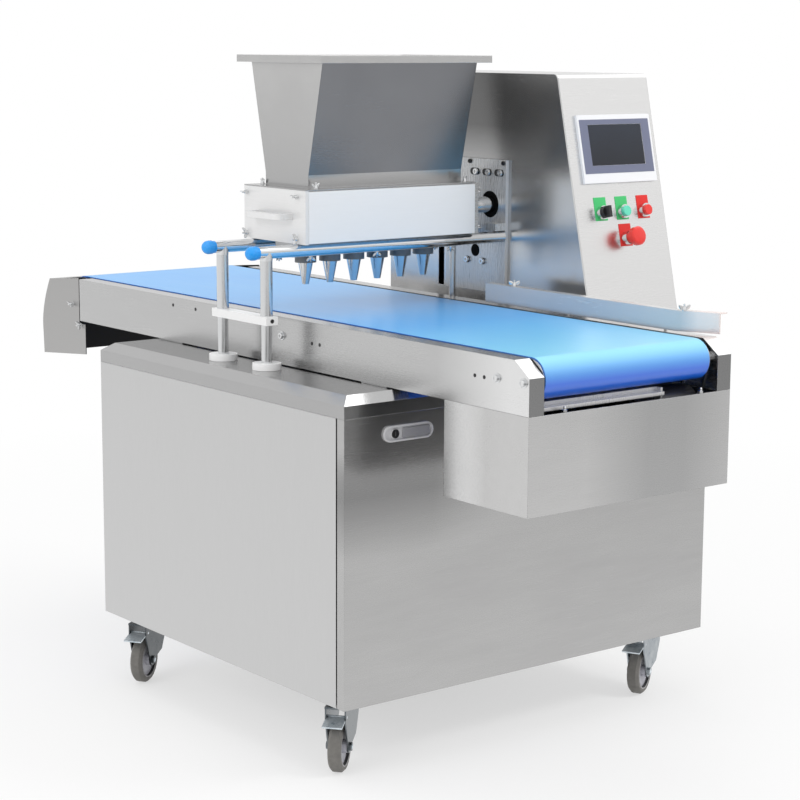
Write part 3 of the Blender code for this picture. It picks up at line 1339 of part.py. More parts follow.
def build_rotors(head):
    """Driving rotor with its shaft into the gearbox, and the driven rotor with its stub."""
    x = (housing_left + ROTOR_END_GAP, housing_right - END_WALL - ROTOR_END_GAP)
    shafts = (
        ("rotor_drive", drive_rotor_y, 1, DRIVE_SHAFT_RADIUS, DRIVE_SHAFT_REACH),
        ("rotor_driven", driven_rotor_y, -1, STUB_RADIUS, 0),
    )
    for name, y, sign, radius, reach in shafts:
        bm = bmesh.new()
        extruded(bm, "X", x, rotor_outline((y, rotor_z), sign))
        rotor = node(name, bm, "white plastic", origin=(head_x, y, rotor_z), parent=head)
        shaft = bmesh.new()
        rod(shaft, (x[1] - WELD, y, rotor_z), (1, 0, 0), radius, housing_right + reach - x[1], ROUND_SIDES)
        join(rotor, shaft)


def build_covers(head):
    """Front cover of the pump, and the end cover with its handle."""
    cover = bmesh.new()
    x = side(housing_left, 1, 0, COVER_LENGTH)
    z = grow((housing_base, housing_top), -COVER_MARGIN)
    block(cover, x, (cover_front, housing_front - GAP), z)
    node("pump_front_cover", cover, "polished steel", parent=head)
    plate = bmesh.new()
    y = (cover_front, housing_back)
    block(plate, (cover_left, housing_left - GAP), y, (housing_base, housing_top))
    end_cover = node("end_cover", plate, "brushed steel", parent=head)
    foot_x, grip_x = cover_left + WELD, side(cover_left - HANDLE_REACH, 1, 0, HANDLE_BAR)
    outer_y = around(head_y, HANDLE_LENGTH)
    inner_y = grow(outer_y, -HANDLE_BAR)
    outline = [
        (foot_x, outer_y[0]), (grip_x[0], outer_y[0]), (grip_x[0], outer_y[1]), (foot_x, outer_y[1]),
        (foot_x, inner_y[1]), (grip_x[1], inner_y[1]), (grip_x[1], inner_y[0]), (foot_x, inner_y[0]),
    ]
    for index in (6, 5, 2, 1):
        outline = rounded(outline, index, HANDLE_CORNER - (HANDLE_BAR if index > 2 else 0))
    handle = bmesh.new()
    extruded(handle, "Z", around(rotor_z, HANDLE_BAR), outline)
    join(end_cover, handle)


def build_nozzle_bar(head):
    """Nozzle bar under the housing, with its manifold slot and the guide block of the stanchion."""
    bm = bmesh.new()
    z = (bar_base, bar_base + BAR_HEIGHT)
    block(bm, (bar_left, bar_right), around(head_y, BAR_WIDTH), z)
    bar = node("nozzle_bar", bm, "brushed steel", parent=head)
    guide = bmesh.new()
    block(guide, around(stanchion_x, STANCHION_BLOCK), around(head_y, STANCHION_BLOCK_WIDTH), grow(z, -WELD))
    join(bar, guide)
    slots = bmesh.new()
    block(slots, manifold_limits(), around(head_y, MANIFOLD_WIDTH), (z[1] - MANIFOLD_DEPTH, z[1] + OVERRUN))
    for x in nozzle_xs():
        rod(slots, (x, head_y, z[0] - OVERRUN), (0, 0, 1), NOZZLE_FEED, BAR_HEIGHT + OVERRUN, SMALL_SIDES)
    stanchion = (stanchion_x, head_y, z[0] - OVERRUN)
    rod(slots, stanchion, (0, 0, 1), STANCHION_RADIUS + GAP, BAR_HEIGHT + 2 * OVERRUN, ROUND_SIDES)
    cut(bar, slots)


def nozzle_xs():
    """Places of the nozzles along X."""
    return [nozzle_x + NOZZLE_PITCH * (i - (NOZZLE_COUNT - 1) / 2) for i in range(NOZZLE_COUNT)]


def build_nozzles(head):
    """Six conical nozzles with flanges, under the bar."""
    end = NOZZLE_FLANGE_HEIGHT + CONE_HEIGHT
    profile = [
        (NOZZLE_FEED, 0), (NOZZLE_FLANGE_RADIUS, 0), (NOZZLE_FLANGE_RADIUS, NOZZLE_FLANGE_HEIGHT),
        (CONE_RADIUS, NOZZLE_FLANGE_HEIGHT), (TIP_RADIUS, end), (TIP_BORE, end),
    ]
    for i, x in enumerate(nozzle_xs()):
        bm = bmesh.new()
        turned(bm, (x, head_y, bar_base - GAP), (0, 0, -1), profile, ROUND_SIDES)
        node(f"nozzle_{i + 1}", bm, "polished steel", parent=head)


def build_hopper(head):
    """Hopper of sheet, with a base flange, a straight throat, a flared body and a folded rim."""
    base = housing_top + GAP
    top = base + HOPPER_HEIGHT
    middle = head_y + HOPPER_SHIFT
    length = around(head_x, HOPPER_LENGTH)
    flange = corners((cover_left, housing_right - BASE_FLANGE_INSET), (cover_front, housing_back))
    throat = corners(length, around(middle, HOPPER_LOW_WIDTH))
    mouth = corners(length, around(middle, HOPPER_TOP_WIDTH))
    rim = shrunk(mouth, -RIM_OVERHANG)
    path = [
        (base, flange), (base + SHEET, flange), (base + SHEET, throat), (base + THROAT_HEIGHT, throat),
        (top - SHEET, mouth), (top - SHEET, shrunk(rim, SHEET)), (top - RIM_LIP, shrunk(rim, SHEET)),
        (top - RIM_LIP, rim), (top, rim), (top, shrunk(mouth, SHEET)),
        (base + THROAT_HEIGHT, shrunk(throat, SHEET)), (base, shrunk(throat, SHEET)),
    ]
    bm = bmesh.new()
    lofted(bm, [ring_at("Z", z, outline) for z, outline in path], closed=True)
    node("hopper", bm, "brushed steel", parent=head)


def build_casters():
    """Four casters, each with a swivelling fork, a wheel and a brake pedal."""
    for corner, (x, y) in caster_places().items():
        turn = Matrix.Rotation(-CASTER_HEADINGS[corner], 4, "Z")
        build_caster("caster_" + corner, Matrix.Translation((x, y, 0)) @ turn)


def build_caster(name, frame):
    """One caster in a frame whose Z is the swivel axis and whose +Y points away from the wheel."""
    plate_z = plate_base - GAP
    crown_z = side(plate_z, -1, CROWN_DROP - CROWN_THICKNESS, CROWN_DROP)
    inner = WHEEL_WIDTH / 2 + LEG_CLEARANCE
    outer = inner + LEG_THICKNESS
    bm = bmesh.new()
    block(bm, (-outer - WELD, outer + WELD), (-CROWN_BACK, CROWN_FRONT), crown_z)
    fork = node(name + "_fork", bm, "zinc", frame=frame)
    legs = bmesh.new()
    heel = crown_z[0] - LEG_HEEL
    tip = arc((-TRAIL, WHEEL_RADIUS), LEG_TIP, pi, 2 * pi, SMALL_SIDES // 2)
    crown_y = (WELD - CROWN_BACK, CROWN_FRONT - WELD)
    top = crown_z[0] + WELD
    outline = [(crown_y[1], top), (crown_y[0], top), (crown_y[0], heel)] + tip
    outline += [*LEG_FRONT, (crown_y[1], crown_z[0] - CROWN_THICKNESS)]
    for sign in (-1, 1):
        extruded(legs, "X", side(0, sign, inner, outer), outline)
    race_length = plate_z - crown_z[1] + WELD
    rod(legs, (0, 0, crown_z[1] - WELD), (0, 0, 1), RACE_RADIUS, race_length, ROUND_SIDES)
    join(fork, legs, frame)
    axle = bmesh.new()
    ends = outer - WELD
    profile = [
        (0, -ends - BOLT_HEIGHT), (BOLT_RADIUS, -ends - BOLT_HEIGHT), (BOLT_RADIUS, -ends),
        (AXLE_RADIUS, -ends), (AXLE_RADIUS, ends),
        (BOLT_RADIUS, ends), (BOLT_RADIUS, ends + BOLT_HEIGHT), (0, ends + BOLT_HEIGHT),
    ]
    turned(axle, (0, -TRAIL, WHEEL_RADIUS), (1, 0, 0), profile, SMALL_SIDES)
    join(fork, axle, frame)
    pin_z = plate_z - CROWN_DROP - PEDAL_DROP
    holes = bmesh.new()
    through = 2 * (outer + OVERRUN)
    rod(holes, (-outer - OVERRUN, -PEDAL_BACK, pin_z), (1, 0, 0), PEDAL_PIN_RADIUS + GAP, through)
    cut(fork, holes, frame)
    build_wheel(name, frame, fork)
    build_pedal(name, frame, fork, pin_z, inner)


def build_wheel(name, frame, fork):
    """Wheel with a bored hub, a recessed web and a chamfered tread."""
    half = WHEEL_WIDTH / 2
    bore = AXLE_RADIUS + AXLE_CLEARANCE
    hub = half + LEG_CLEARANCE - HUB_END_GAP
    web = half - WEB_INSET
    face = [(bore, hub), (HUB_RADIUS, hub), (HUB_RADIUS, web), (WEB_RADIUS, web), (WEB_RADIUS, half)]
    face += [(WHEEL_RADIUS - TREAD_CHAMFER, half), (WHEEL_RADIUS, half - TREAD_CHAMFER)]
    profile = face + [(radius, -height) for radius, height in reversed(face)]
    bm = bmesh.new()
    turned(bm, (0, -TRAIL, WHEEL_RADIUS), (1, 0, 0), profile, FINE_SIDES)
    node(name + "_wheel", bm, "grey rubber", origin=(0, -TRAIL, WHEEL_RADIUS), parent=fork, frame=frame)


def build_pedal(name, frame, fork, pin_z, inner):
    """Brake pedal: a sloping plate on a pin between the legs of the fork."""
    tilt = frame @ Matrix.Translation((0, -PEDAL_BACK, pin_z)) @ Matrix.Rotation(PEDAL_SLOPE, 4, "X")
    neck = inner - PEDAL_SIDE_GAP
    bm = bmesh.new()
    outline = [
        (-neck, -WELD), (neck, -WELD), (neck, -PEDAL_NECK),
        (PEDAL_WIDTH / 2, -PEDAL_NECK), (PEDAL_WIDTH / 2, -PEDAL_LENGTH), (-PEDAL_WIDTH / 2, -PEDAL_LENGTH),
        (-PEDAL_WIDTH / 2, -PEDAL_NECK), (-neck, -PEDAL_NECK),
    ]
    extruded(bm, "Z", around(0, PEDAL_THICKNESS), outline)
    pedal = node(name + "_pedal", bm, "polished steel", parent=fork, frame=tilt)
    pin = bmesh.new()
    rod(pin, (-inner - LEG_THICKNESS, 0, 0), (1, 0, 0), PEDAL_PIN_RADIUS, 2 * (inner + LEG_THICKNESS))
    join(pedal, pin, tilt)


def build_machine():
    """Build every sub-part."""
    clear_scene()
    build_base_frame()
    build_cabinet_shell()
    build_lid()
    build_latch(build_front_panel())
    build_control_tray()
    build_rail("rail_left", rail_left, 1)
    build_rail("rail_right", rail_right, -1)
    build_bed()
    build_belt()
    build_rollers()
    build_end_guard()
    build_drive_box()
    build_motor()
    build_side_guard()
    build_tower()
    build_touch_panel()
    build_switch_block()
    build_switches()
    build_posts()
    build_lift_unit()
    head = build_carriage()
    build_slide_rods(head)
    build_yoke(head)
    build_feed_drive(head)
    build_pump_housing(head)
    build_rotors(head)
    build_covers(head)
    build_nozzle_bar(head)
    build_nozzles(head)
    build_hopper(head)
    build_casters()


build_machine()
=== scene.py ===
"""The looks of a cake depositor: brushed sheet steel, a light blue belt and small fittings.

Lengths are metres, +Z is up, the belt runs along Y and its outlet end faces -Y.
"""

import math

import bmesh
import bpy
import numpy as np
from mathutils import Matrix, Vector


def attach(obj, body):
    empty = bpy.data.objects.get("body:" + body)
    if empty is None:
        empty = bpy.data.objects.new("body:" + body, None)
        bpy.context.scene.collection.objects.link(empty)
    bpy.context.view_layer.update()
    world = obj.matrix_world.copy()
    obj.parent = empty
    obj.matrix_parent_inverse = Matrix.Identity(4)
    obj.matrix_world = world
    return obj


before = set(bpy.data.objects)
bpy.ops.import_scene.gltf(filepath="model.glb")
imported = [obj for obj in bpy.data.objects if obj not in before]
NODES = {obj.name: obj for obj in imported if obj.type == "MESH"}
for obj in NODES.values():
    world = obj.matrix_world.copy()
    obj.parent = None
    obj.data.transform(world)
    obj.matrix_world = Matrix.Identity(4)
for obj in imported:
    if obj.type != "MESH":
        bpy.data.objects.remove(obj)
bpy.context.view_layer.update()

X, Y, Z = np.eye(3)
QUARTER_TURN, HALF_TURN, FULL_TURN = math.pi / 2, math.pi, 2 * math.pi

# ---------------------------------------------------------------- shaders


class Reading:
    """One output of a shader node. Arithmetic on it adds Math nodes, whichever side it is on."""

    def __init__(self, shading, socket):
        self.shading, self.socket = shading, socket

    def math(self, operation, *others):
        values = dict(enumerate((self, *others)))
        return self.shading.node("ShaderNodeMath", {"operation": operation}, values)

    def __add__(self, other):
        return self.math("ADD", other)

    def __sub__(self, other):
        return self.math("SUBTRACT", other)

    def __rsub__(self, other):
        return self * -1.0 + other

    def __mul__(self, other):
        return self.math("MULTIPLY", other)

    def __lt__(self, other):
        return self.math("LESS_THAN", other)

    def __gt__(self, other):
        return self.math("GREATER_THAN", other)

    __radd__, __rmul__ = __add__, __mul__

    def at_least(self, other):
        """The larger of the two. Of two masks, it is 1 where either is."""
        return self.math("MAXIMUM", other)

    def swing(self, amount):
        """How far the reading is from a half, times the amount."""
        return (self - 0.5) * amount

    def kept(self, low, high):
        """The reading, no less than low and no more than high."""
        values = {"Value": self, "Min": low, "Max": high}
        return self.shading.node("ShaderNodeClamp", {}, values)

    def grade(self, zero, one):
        """0 where the reading is at zero, 1 where it is at one, straight between, level beyond."""
        return ((self - zero) * (1 / (one - zero))).kept(0.0, 1.0)


class Shading:
    """A tree of shader nodes under construction."""

    def __init__(self, tree):
        self.tree = tree

    def node(self, kind, settings, values, output=0):
        """Adds a node, its settings first, then a value or a link for each socket."""
        node = self.tree.nodes.new(kind)
        for name, value in settings.items():
            setattr(node, name, value)
        for name, value in values.items():
            if isinstance(value, Reading):
                self.tree.links.new(value.socket, node.inputs[name])
            else:
                node.inputs[name].default_value = value
        return Reading(self, node.outputs[output])

    def part(self, vector, axis):
        """A vector's part along X, Y or Z."""
        return self.node("ShaderNodeSeparateXYZ", {}, {"Vector": vector}, axis)

    def vector(self, operation, *values):
        """A Vector Math node: the Vector of a difference, the Value of any other operation."""
        output = "Vector" if operation == "SUBTRACT" else "Value"
        settings = {"operation": operation}
        return self.node("ShaderNodeVectorMath", settings, dict(enumerate(values)), output)

    def ray(self, kind):
        """1 for rays of this kind, such as Is Camera Ray, and 0 for others."""
        return self.node("ShaderNodeLightPath", {}, {}, kind)


class Finish(Shading):
    """A material under construction: one Principled shader and the nodes that feed it."""

    def __init__(self, name, **constants):
        self.material = bpy.data.materials.new(name)
        self.material.use_nodes = True
        super().__init__(self.material.node_tree)
        self.shader = self.tree.nodes["Principled BSDF"]
        for socket, value in constants.items():
            self.shader.inputs[socket.replace("_", " ")].default_value = value
        self.place = self.node("ShaderNodeTexCoord", {}, {}, "Object")

    def noise(self, scale, stretch=(1, 1, 1), detail=3.0, roughness=0.5):
        """Noise from 0 to 1 on Object coordinates, drawn out along the axes of small stretch."""
        place = self.node("ShaderNodeMapping", {}, {"Vector": self.place, "Scale": stretch})
        values = {"Vector": place, "Scale": scale, "Detail": detail, "Roughness": roughness}
        return self.node("ShaderNodeTexNoise", {}, values)

    def along(self, axis):
        """The Object coordinate along X, Y or Z."""
        return self.part(self.place, axis)

    def faces(self, axis):
        """How far the surface itself faces along X, Y or Z, from -1 to 1."""
        return self.part(self.node("ShaderNodeTexCoord", {}, {}, "Normal"), axis)

    def mix(self, share, first, second):
        """Colour first where the share is 0, second where it is 1."""
        settings = {"data_type": "RGBA", "clamp_factor": True}
        return self.node("ShaderNodeMix", settings, {0: share, 6: first, 7: second}, 2)

    def rounded(self, radius):
        """The normal of a surface whose edges are rounded to the radius."""
        return self.node("ShaderNodeBevel", {"samples": 4}, {"Radius": radius})

    def bump(self, height, distance, strength, normal=None):
        values = {"Height": height, "Distance": distance, "Strength": strength}
        if normal:
            values["Normal"] = normal
        return self.node("ShaderNodeBump", {}, values)

    def feed(self, **links):
        for socket, value in links.items():
            self.tree.links.new(value.socket, self.shader.inputs[socket.replace("_", " ")])
        return self


WHITEST = 0.98
COOL = -0.01
GRAIN = {"X": (2.5, 90, 90), "Y": (90, 2.5, 90), "Z": (90, 90, 2.5)}
SHEET_EDGE, ZINC_EDGE = 0.0012, 0.0006


def grey(level, warm=0.0):
    """A near-grey colour, warm above 0 and bluish below it."""
    return (level * (1 + warm), level, level * (1 - warm), 1)


def drawn_out(grain, amount):
    """A stretch for noise: the amount along the grain and 1 across it."""
    return tuple(amount if axis == grain else 1.0 for axis in "XYZ")


def sheet_steel(
    name, level, grain, roughness, warm=0.0, mottle=0.05, ridge=0.5, metal=1.0, painted_light=None
):
    """Brushed sheet: fine scratches along one axis over streaks and broad clouds, edges rounded.

    Colour = level times 0.85 to 1.15, by the scratches, streaks and clouds together. The last
    argument, where given, works out of the finish where painted light or shade lies on the sheet,
    from 0 to 1, and its colour.
    """
    finish = Finish(name, Metallic=metal)
    scratches = finish.noise(11.0, GRAIN[grain], 5.0, 0.75)
    clouds = finish.noise(8.0, drawn_out(grain, 0.35), 3.0, 0.6)
    streaks = finish.noise(45.0, drawn_out(grain, 0.12), 3.0, 0.6)
    shade = scratches.swing(0.5) + streaks.swing(mottle * 3) + clouds.swing(mottle * 6) + 0.5
    dull, keen = grey(level * 0.85, warm), grey(min(level * 1.15, WHITEST), warm)
    colour = finish.mix(shade, dull, keen)
    # The painted light or shade, where given, is mixed over the brushed colour.
    if painted_light:
        share, other = painted_light(finish)
        colour = finish.mix(share, colour, other)
    return finish.feed(
        Base_Color=colour,
        Roughness=scratches.swing(0.14) + clouds.swing(0.10) + roughness,
        Normal=finish.bump(scratches, 0.00008, ridge, finish.rounded(SHEET_EDGE)),
    )


def bright_steel(name, level, roughness):
    """Turned and ground round stock: nearly a mirror, with faint rings and handling marks."""
    finish = Finish(name, Metallic=1.0)
    marks = finish.noise(60.0, detail=4.0, roughness=0.6)
    rings = finish.noise(500.0, (1, 0.05, 1), 2.0)
    dull, keen = grey(level * 0.9, COOL), grey(min(level * 1.08, WHITEST), COOL)
    return finish.feed(
        Base_Color=finish.mix(marks, dull, keen),
        Roughness=marks.swing(0.10) + rings.swing(0.05) + roughness,
        Normal=finish.bump(rings, 0.00002, 0.2),
    )


def moulded(name, colour, roughness, pebble=900.0, spread=0.12, **constants):
    """Moulded plastic: a fine pebbled skin, slight colour drift and duller handled patches."""
    finish = Finish(name, Metallic=0.0, **constants)
    pebbles = finish.noise(pebble, detail=2.0)
    drift = finish.noise(25.0, roughness=0.6)
    dark = tuple(part * (1 - spread) for part in colour) + (1,)
    light = tuple(min(part * (1 + spread), 1.0) for part in colour) + (1,)
    return finish.feed(
        Base_Color=finish.mix(drift, dark, light),
        Roughness=drift.swing(0.16) + pebbles.swing(0.08) + roughness,
        Normal=finish.bump(pebbles, 0.00006, 0.25),
    )


def belt_cloth():
    """The food belt: satin light blue, faintly woven, scuffed along its running way.

    It is painted paler towards the outlet, a painted sheen, and painted darker blue where it turns
    down over the roller, a painted shade.
    """
    gloss = {"Coat_Weight": 0.3, "Coat_Roughness": 0.4, "Specular_IOR_Level": 0.95}
    finish = Finish("blue_belt_satin", Metallic=0.0, **gloss)
    weave = finish.noise(1500.0, detail=1.0)
    scuffs = finish.noise(30.0, (3, 0.12, 3), 4.0, 0.6)
    clouds = finish.noise(5.0, detail=2.0)
    dark, light = (0.055, 0.40, 0.92, 1), (0.095, 0.48, 0.97, 1)
    # The paler blue towards the outlet is a painted sheen, and the darker blue where the belt turns
    # down over the roller is painted shade.
    pale, painted_roll_shade = (0.24, 0.71, 1.0, 1), (0.003, 0.12, 0.68, 1)
    top = finish.mix(scuffs.swing(0.7) + clouds, dark, light)
    top = finish.mix(finish.along("Y").grade(-0.40, -0.8167), top, pale)
    return finish.feed(
        Base_Color=finish.mix(finish.faces("Z").grade(-0.25, 1.0), painted_roll_shade, top),
        Roughness=scuffs.swing(0.14) + weave.swing(0.06) + 0.33,
        Normal=finish.bump(weave, 0.00004, 0.3),
    )


def zinc_plate(name, level, metal=1.0):
    """Zinc on pressed steel: a cool spangle with cloudy spots, from dull to bright."""
    finish = Finish(name, Metallic=metal)
    cells = {"Vector": finish.place, "Scale": 260.0}
    spangle = finish.node("ShaderNodeTexVoronoi", {}, cells, "Color")
    clouds = finish.noise(45.0, roughness=0.6)
    dull, clean, spot = (
        tuple(level * part for part in colour) + (1,)
        for colour in ((0.60, 0.74, 0.84), (1.0, 1.1, 1.2), (1.5, 1.6, 1.66))
    )
    return finish.feed(
        Base_Color=finish.mix(clouds.swing(2.5) + 0.5, finish.mix(spangle, dull, clean), spot),
        Roughness=clouds.swing(0.2) + 0.30,
        Normal=finish.rounded(ZINC_EDGE),
    )


def two_finishes(name, plastic_where, plastic, matt, steel, bright):
    """A part of plastic and steel. plastic_where works out of the finish where the plastic is.

    plastic and steel are the colours, matt and bright their roughness.
    """
    finish = Finish(name, Metallic=1.0)
    mask = plastic_where(finish)
    marks = finish.noise(40.0, roughness=0.6)
    return finish.feed(
        Base_Color=finish.mix(marks.swing(0.2) + 0.03, finish.mix(mask, steel, plastic), grey(0.9)),
        Metallic=1.0 - mask,
        Roughness=mask * (matt - bright) + marks.swing(0.08) + bright,
    )


BALL_BACK, FOOT_TOP, LINK_TOP, FLANGE_UNDERSIDE = -0.4217, 0.7669, 0.8604, 0.9523
BALL_BLUE = (0.006, 0.32, 0.86, 1)


def ball(finish):
    """The plastic ball at a slide rod's left end."""
    return finish.along("X") < BALL_BACK


def foot(finish):
    """The plastic foot under a guide post."""
    return finish.along("Z") < FOOT_TOP


def link(finish):
    """The plastic link under its two steel sleeves."""
    return finish.along("Z") < LINK_TOP


def flange(finish):
    """The plastic flange over a nozzle's steel cone."""
    return finish.along("Z") > FLANGE_UNDERSIDE


GROOVE_FROM, TREAD_FROM, PALE_RING_TO = 0.0362, 0.0375, 0.0395


def wheel_finish(name, centre, axle):
    """A grey-brown tread round a lilac-grey hub, with a dark groove and a pale ring between.

    Distance from the axle = the root of |place - centre|^2 - ((place - centre) . axle)^2.
    """
    finish = Finish(name, Metallic=0.0)
    arm = finish.vector("SUBTRACT", finish.place, centre)
    along, length = finish.vector("DOT_PRODUCT", arm, axle), finish.vector("LENGTH", arm)
    radius = (length * length - along * along).math("SQRT")
    tread = radius > TREAD_FROM
    dust = finish.noise(90.0, detail=4.0, roughness=0.65)
    rubber = finish.mix(dust, (0.115, 0.110, 0.102, 1), (0.235, 0.225, 0.210, 1))
    rubber = finish.mix(radius < PALE_RING_TO, rubber, (0.46, 0.45, 0.46, 1))
    hub = finish.mix(dust, (0.44, 0.44, 0.48, 1), (0.60, 0.60, 0.65, 1))
    hub = finish.mix(radius > GROOVE_FROM, hub, grey(0.03))
    return finish.feed(
        Base_Color=finish.mix(tread, hub, rubber),
        Roughness=tread * 0.25 + dust.swing(0.15) + 0.42,
        Normal=finish.bump(dust, 0.00025, 0.3),
    )


SCREEN_FOOT = 1.135


def glass_finish():
    """The screen behind its glass: blue-black, painted a little lighter upwards as a painted
    reflection, lightly fingered.
    """
    finish = Finish("screen_glass", Metallic=0.0)
    smears = finish.noise(22.0, detail=4.0, roughness=0.6)
    painted_reflection_rise = (finish.along("Z") - SCREEN_FOOT) * 8.0
    low, high = (0.004, 0.006, 0.012, 1), (0.018, 0.025, 0.042, 1)
    return finish.feed(
        Base_Color=finish.mix(painted_reflection_rise + smears.swing(0.3), low, high),
        Roughness=smears.swing(0.10) + 0.14,
    )


SQUARELY, PARTLY = 0.6, 0.25
THROAT_TOP, RIM_UNDERSIDE = 1.135, 1.3568
DRIVE_MIDDLE, SPIGOT_END = -0.01, 0.2205


def hopper_painted_shade(finish):
    """Painted shade: the hopper's front wall is painted darker and bluer than its ends, a painted
    reflection, and the ends are painted darker downwards.
    """
    z = finish.along("Z")
    wall = (finish.faces("Y") < -SQUARELY) * (z < RIM_UNDERSIDE) * (z > THROAT_TOP)
    # The front wall's dark blue is a painted reflection, drifting at random.
    cool = finish.noise(6.0, detail=2.0)
    front_painted_reflection = finish.mix(cool, (0.205, 0.21, 0.225, 1), (0.275, 0.28, 0.295, 1))
    return wall.at_least(z.grade(1.33, 1.13)), finish.mix(wall, grey(0.50), front_painted_reflection)


def hood_painted_shade(finish):
    """Painted shade: the hood is painted near black inside, on the inner faces of its side walls,
    its back and its top.
    """
    x, facing = finish.along("X"), finish.faces("X")
    right, left = (facing < -0.5) * (x > 0.0), (facing > 0.5) * (x < -0.2)
    behind, under = finish.faces("Y") < -PARTLY, finish.faces("Z") < -PARTLY
    return (right + left).at_least(behind).at_least(under), grey(0.03)


def guard_painted_highlight(finish):
    """Painted highlight: the side guard is painted paler over its last stretch by the outlet."""
    return finish.along("Y").grade(-0.765, -0.7983), (0.98, 0.85, 0.81, 1)


def panel_painted_shade(finish):
    """Painted shade: the front panel is painted darker in a soft band below its lock, towards its
    left side.
    """
    z = finish.along("Z")
    band = z.grade(0.44, 0.6067) * z.grade(0.66, 0.56)
    return band * finish.along("X").grade(-0.10, -0.2667), grey(0.20)


def rail_painted_light(finish):
    """Painted light and shade: the rails are painted paler towards the outlet, and their cut end
    face is painted dark.
    """
    cut = finish.faces("Y") < -SQUARELY
    return finish.along("Y").grade(-0.62, -0.82), finish.mix(cut, grey(0.78), grey(0.27))


def drive_painted_light(finish):
    """Painted shade and light: the drive box is painted duller across its end's middle and paler at
    the far edge of its side.
    """
    end, side = finish.faces("Y") < -SQUARELY, finish.faces("X") < -SQUARELY
    from_middle = (finish.along("X") - DRIVE_MIDDLE).math("ABSOLUTE")
    middle = end * from_middle.grade(0.2, 0.0462)
    far = side * finish.along("Y").grade(-0.76, -0.6767)
    return middle.at_least(far), finish.mix(side, grey(0.46), grey(0.86))


def tower_painted_shade(finish):
    """Painted shade: the tower's side sheet is painted darker towards its top and back."""
    high, back = finish.along("Z").grade(1.08, 1.2229), finish.along("Y").grade(-0.36, -0.1378)
    return high * back, grey(0.20)


def lid_painted_highlight(finish):
    """Painted highlight: the lid's front bevel is painted brighter than the rest."""
    return (finish.faces("Y") < -0.4) * (finish.faces("Z") > 0.3), grey(0.93)


def gearmotor_finish():
    """Black enamel, painted near black and dead matt on the spigot that fills the carriage plate's
    hole: painted shade.
    """
    finish = Finish("gearmotor_enamel", Metallic=0.0, Specular_IOR_Level=0.15)
    # Painted shade: the spigot in the carriage plate's hole is painted near black.
    spigot = finish.along("X") < SPIGOT_END
    specks = finish.noise(500.0, detail=2.0)
    enamel = finish.mix(specks, (0.018, 0.018, 0.021, 1), (0.030, 0.030, 0.035, 1))
    return finish.feed(
        Base_Color=finish.mix(spigot, enamel, grey(0.002)),
        Roughness=spigot * 0.6 + specks.swing(0.1) + 0.34,
        Normal=finish.bump(specks, 0.00006, 0.25),
    )


side_sheet = sheet_steel("cabinet_side_sheet", 0.60, "Z", 0.34, mottle=0.02, ridge=0.2)
front_sheet = sheet_steel(
    "front_panel_sheet", 0.48, "X", 0.26, warm=0.005, mottle=0.10, painted_light=panel_painted_shade
)
lid_sheet = sheet_steel("lid_sheet", 0.43, "Y", 0.20, painted_light=lid_painted_highlight)
rail_sheet = sheet_steel("rail_sheet", 0.53, "Y", 0.26, mottle=0.06, painted_light=rail_painted_light)
drive_sheet = sheet_steel(
    "drive_box_sheet", 0.60, "X", 0.28, warm=0.005, mottle=0.07, painted_light=drive_painted_light
)
hood_sheet = sheet_steel("hood_sheet", 0.44, "Y", 0.34, warm=0.01, mottle=0.03, painted_light=hood_painted_shade)
tower_sheet = sheet_steel("tower_sheet", 0.76, "X", 0.26, warm=0.005, mottle=0.03)
plate_sheet = sheet_steel("tower_plate_sheet", 0.68, "Y", 0.24, mottle=0.06, painted_light=tower_painted_shade)
hopper_sheet = sheet_steel("hopper_sheet", 0.70, "X", 0.24, warm=0.005, painted_light=hopper_painted_shade)
pump_sheet = sheet_steel("pump_body_sheet", 0.62, "X", 0.28, mottle=0.03)
end_cover_sheet = sheet_steel(
    "end_cover_sheet", 0.84, "Y", 0.30, mottle=0.03, ridge=0.2, metal=0.5
)
cover_sheet = sheet_steel("pump_cover_sheet", 0.96, "X", 0.34, mottle=0.02, ridge=0.2, metal=0.35)
guard_sheet = sheet_steel(
    "side_guard_sheet", 0.66, "Y", 0.24, mottle=0.04, metal=0.6, painted_light=guard_painted_highlight
)
carriage_sheet = sheet_steel(
    "carriage_sheet", 0.66, "Z", 0.28, mottle=0.015, ridge=0.1, metal=0.55
)
inner_sheet = sheet_steel("inner_sheet", 0.36, "Y", 0.40)
bright = bright_steel("bright_steel", 0.74, 0.12)
dull_bright = bright_steel("turned_steel", 0.62, 0.22)
chain_steel = bright_steel("chain_steel", 0.30, 0.35)
bright_zinc = zinc_plate("bright_zinc_plate", 0.58, 0.5)
black_enamel = moulded("black_enamel", (0.022, 0.022, 0.026), 0.32, 500.0, 0.2)
black_moulded = moulded("black_moulded", (0.016, 0.016, 0.017), 0.38)
# Near black and dead matt: painted shade for the carriage plate's hole.
painted_hole_shade = moulded("painted_hole_shade", (0.004, 0.004, 0.004), 0.8, Specular_IOR_Level=0.1)
bezel_moulded = moulded("panel_bezel", (0.86, 0.86, 0.88), 0.42, 1200.0, 0.02)
frame_print = moulded("panel_inner_frame", (0.165, 0.18, 0.265), 0.40, 1500.0, 0.04)
green_moulded = moulded(
    "green_button_plastic", (0.13, 0.72, 0.50), 0.24, spread=0.10, Coat_Weight=0.3
)
red_moulded = moulded(
    "red_button_plastic", (0.80, 0.030, 0.022), 0.24, spread=0.10, Coat_Weight=0.3
)
green_plate = moulded("green_legend_plate", (0.060, 0.56, 0.17), 0.42, 700.0, 0.06)
red_plate = moulded("red_legend_plate", (0.76, 0.020, 0.016), 0.42, 700.0, 0.06)
latch_casting = moulded("latch_casting", (0.66, 0.66, 0.67), 0.30, spread=0.05)
lever_satin = moulded("latch_lever_satin", (0.34, 0.34, 0.36), 0.34, spread=0.08)
glass = glass_finish()
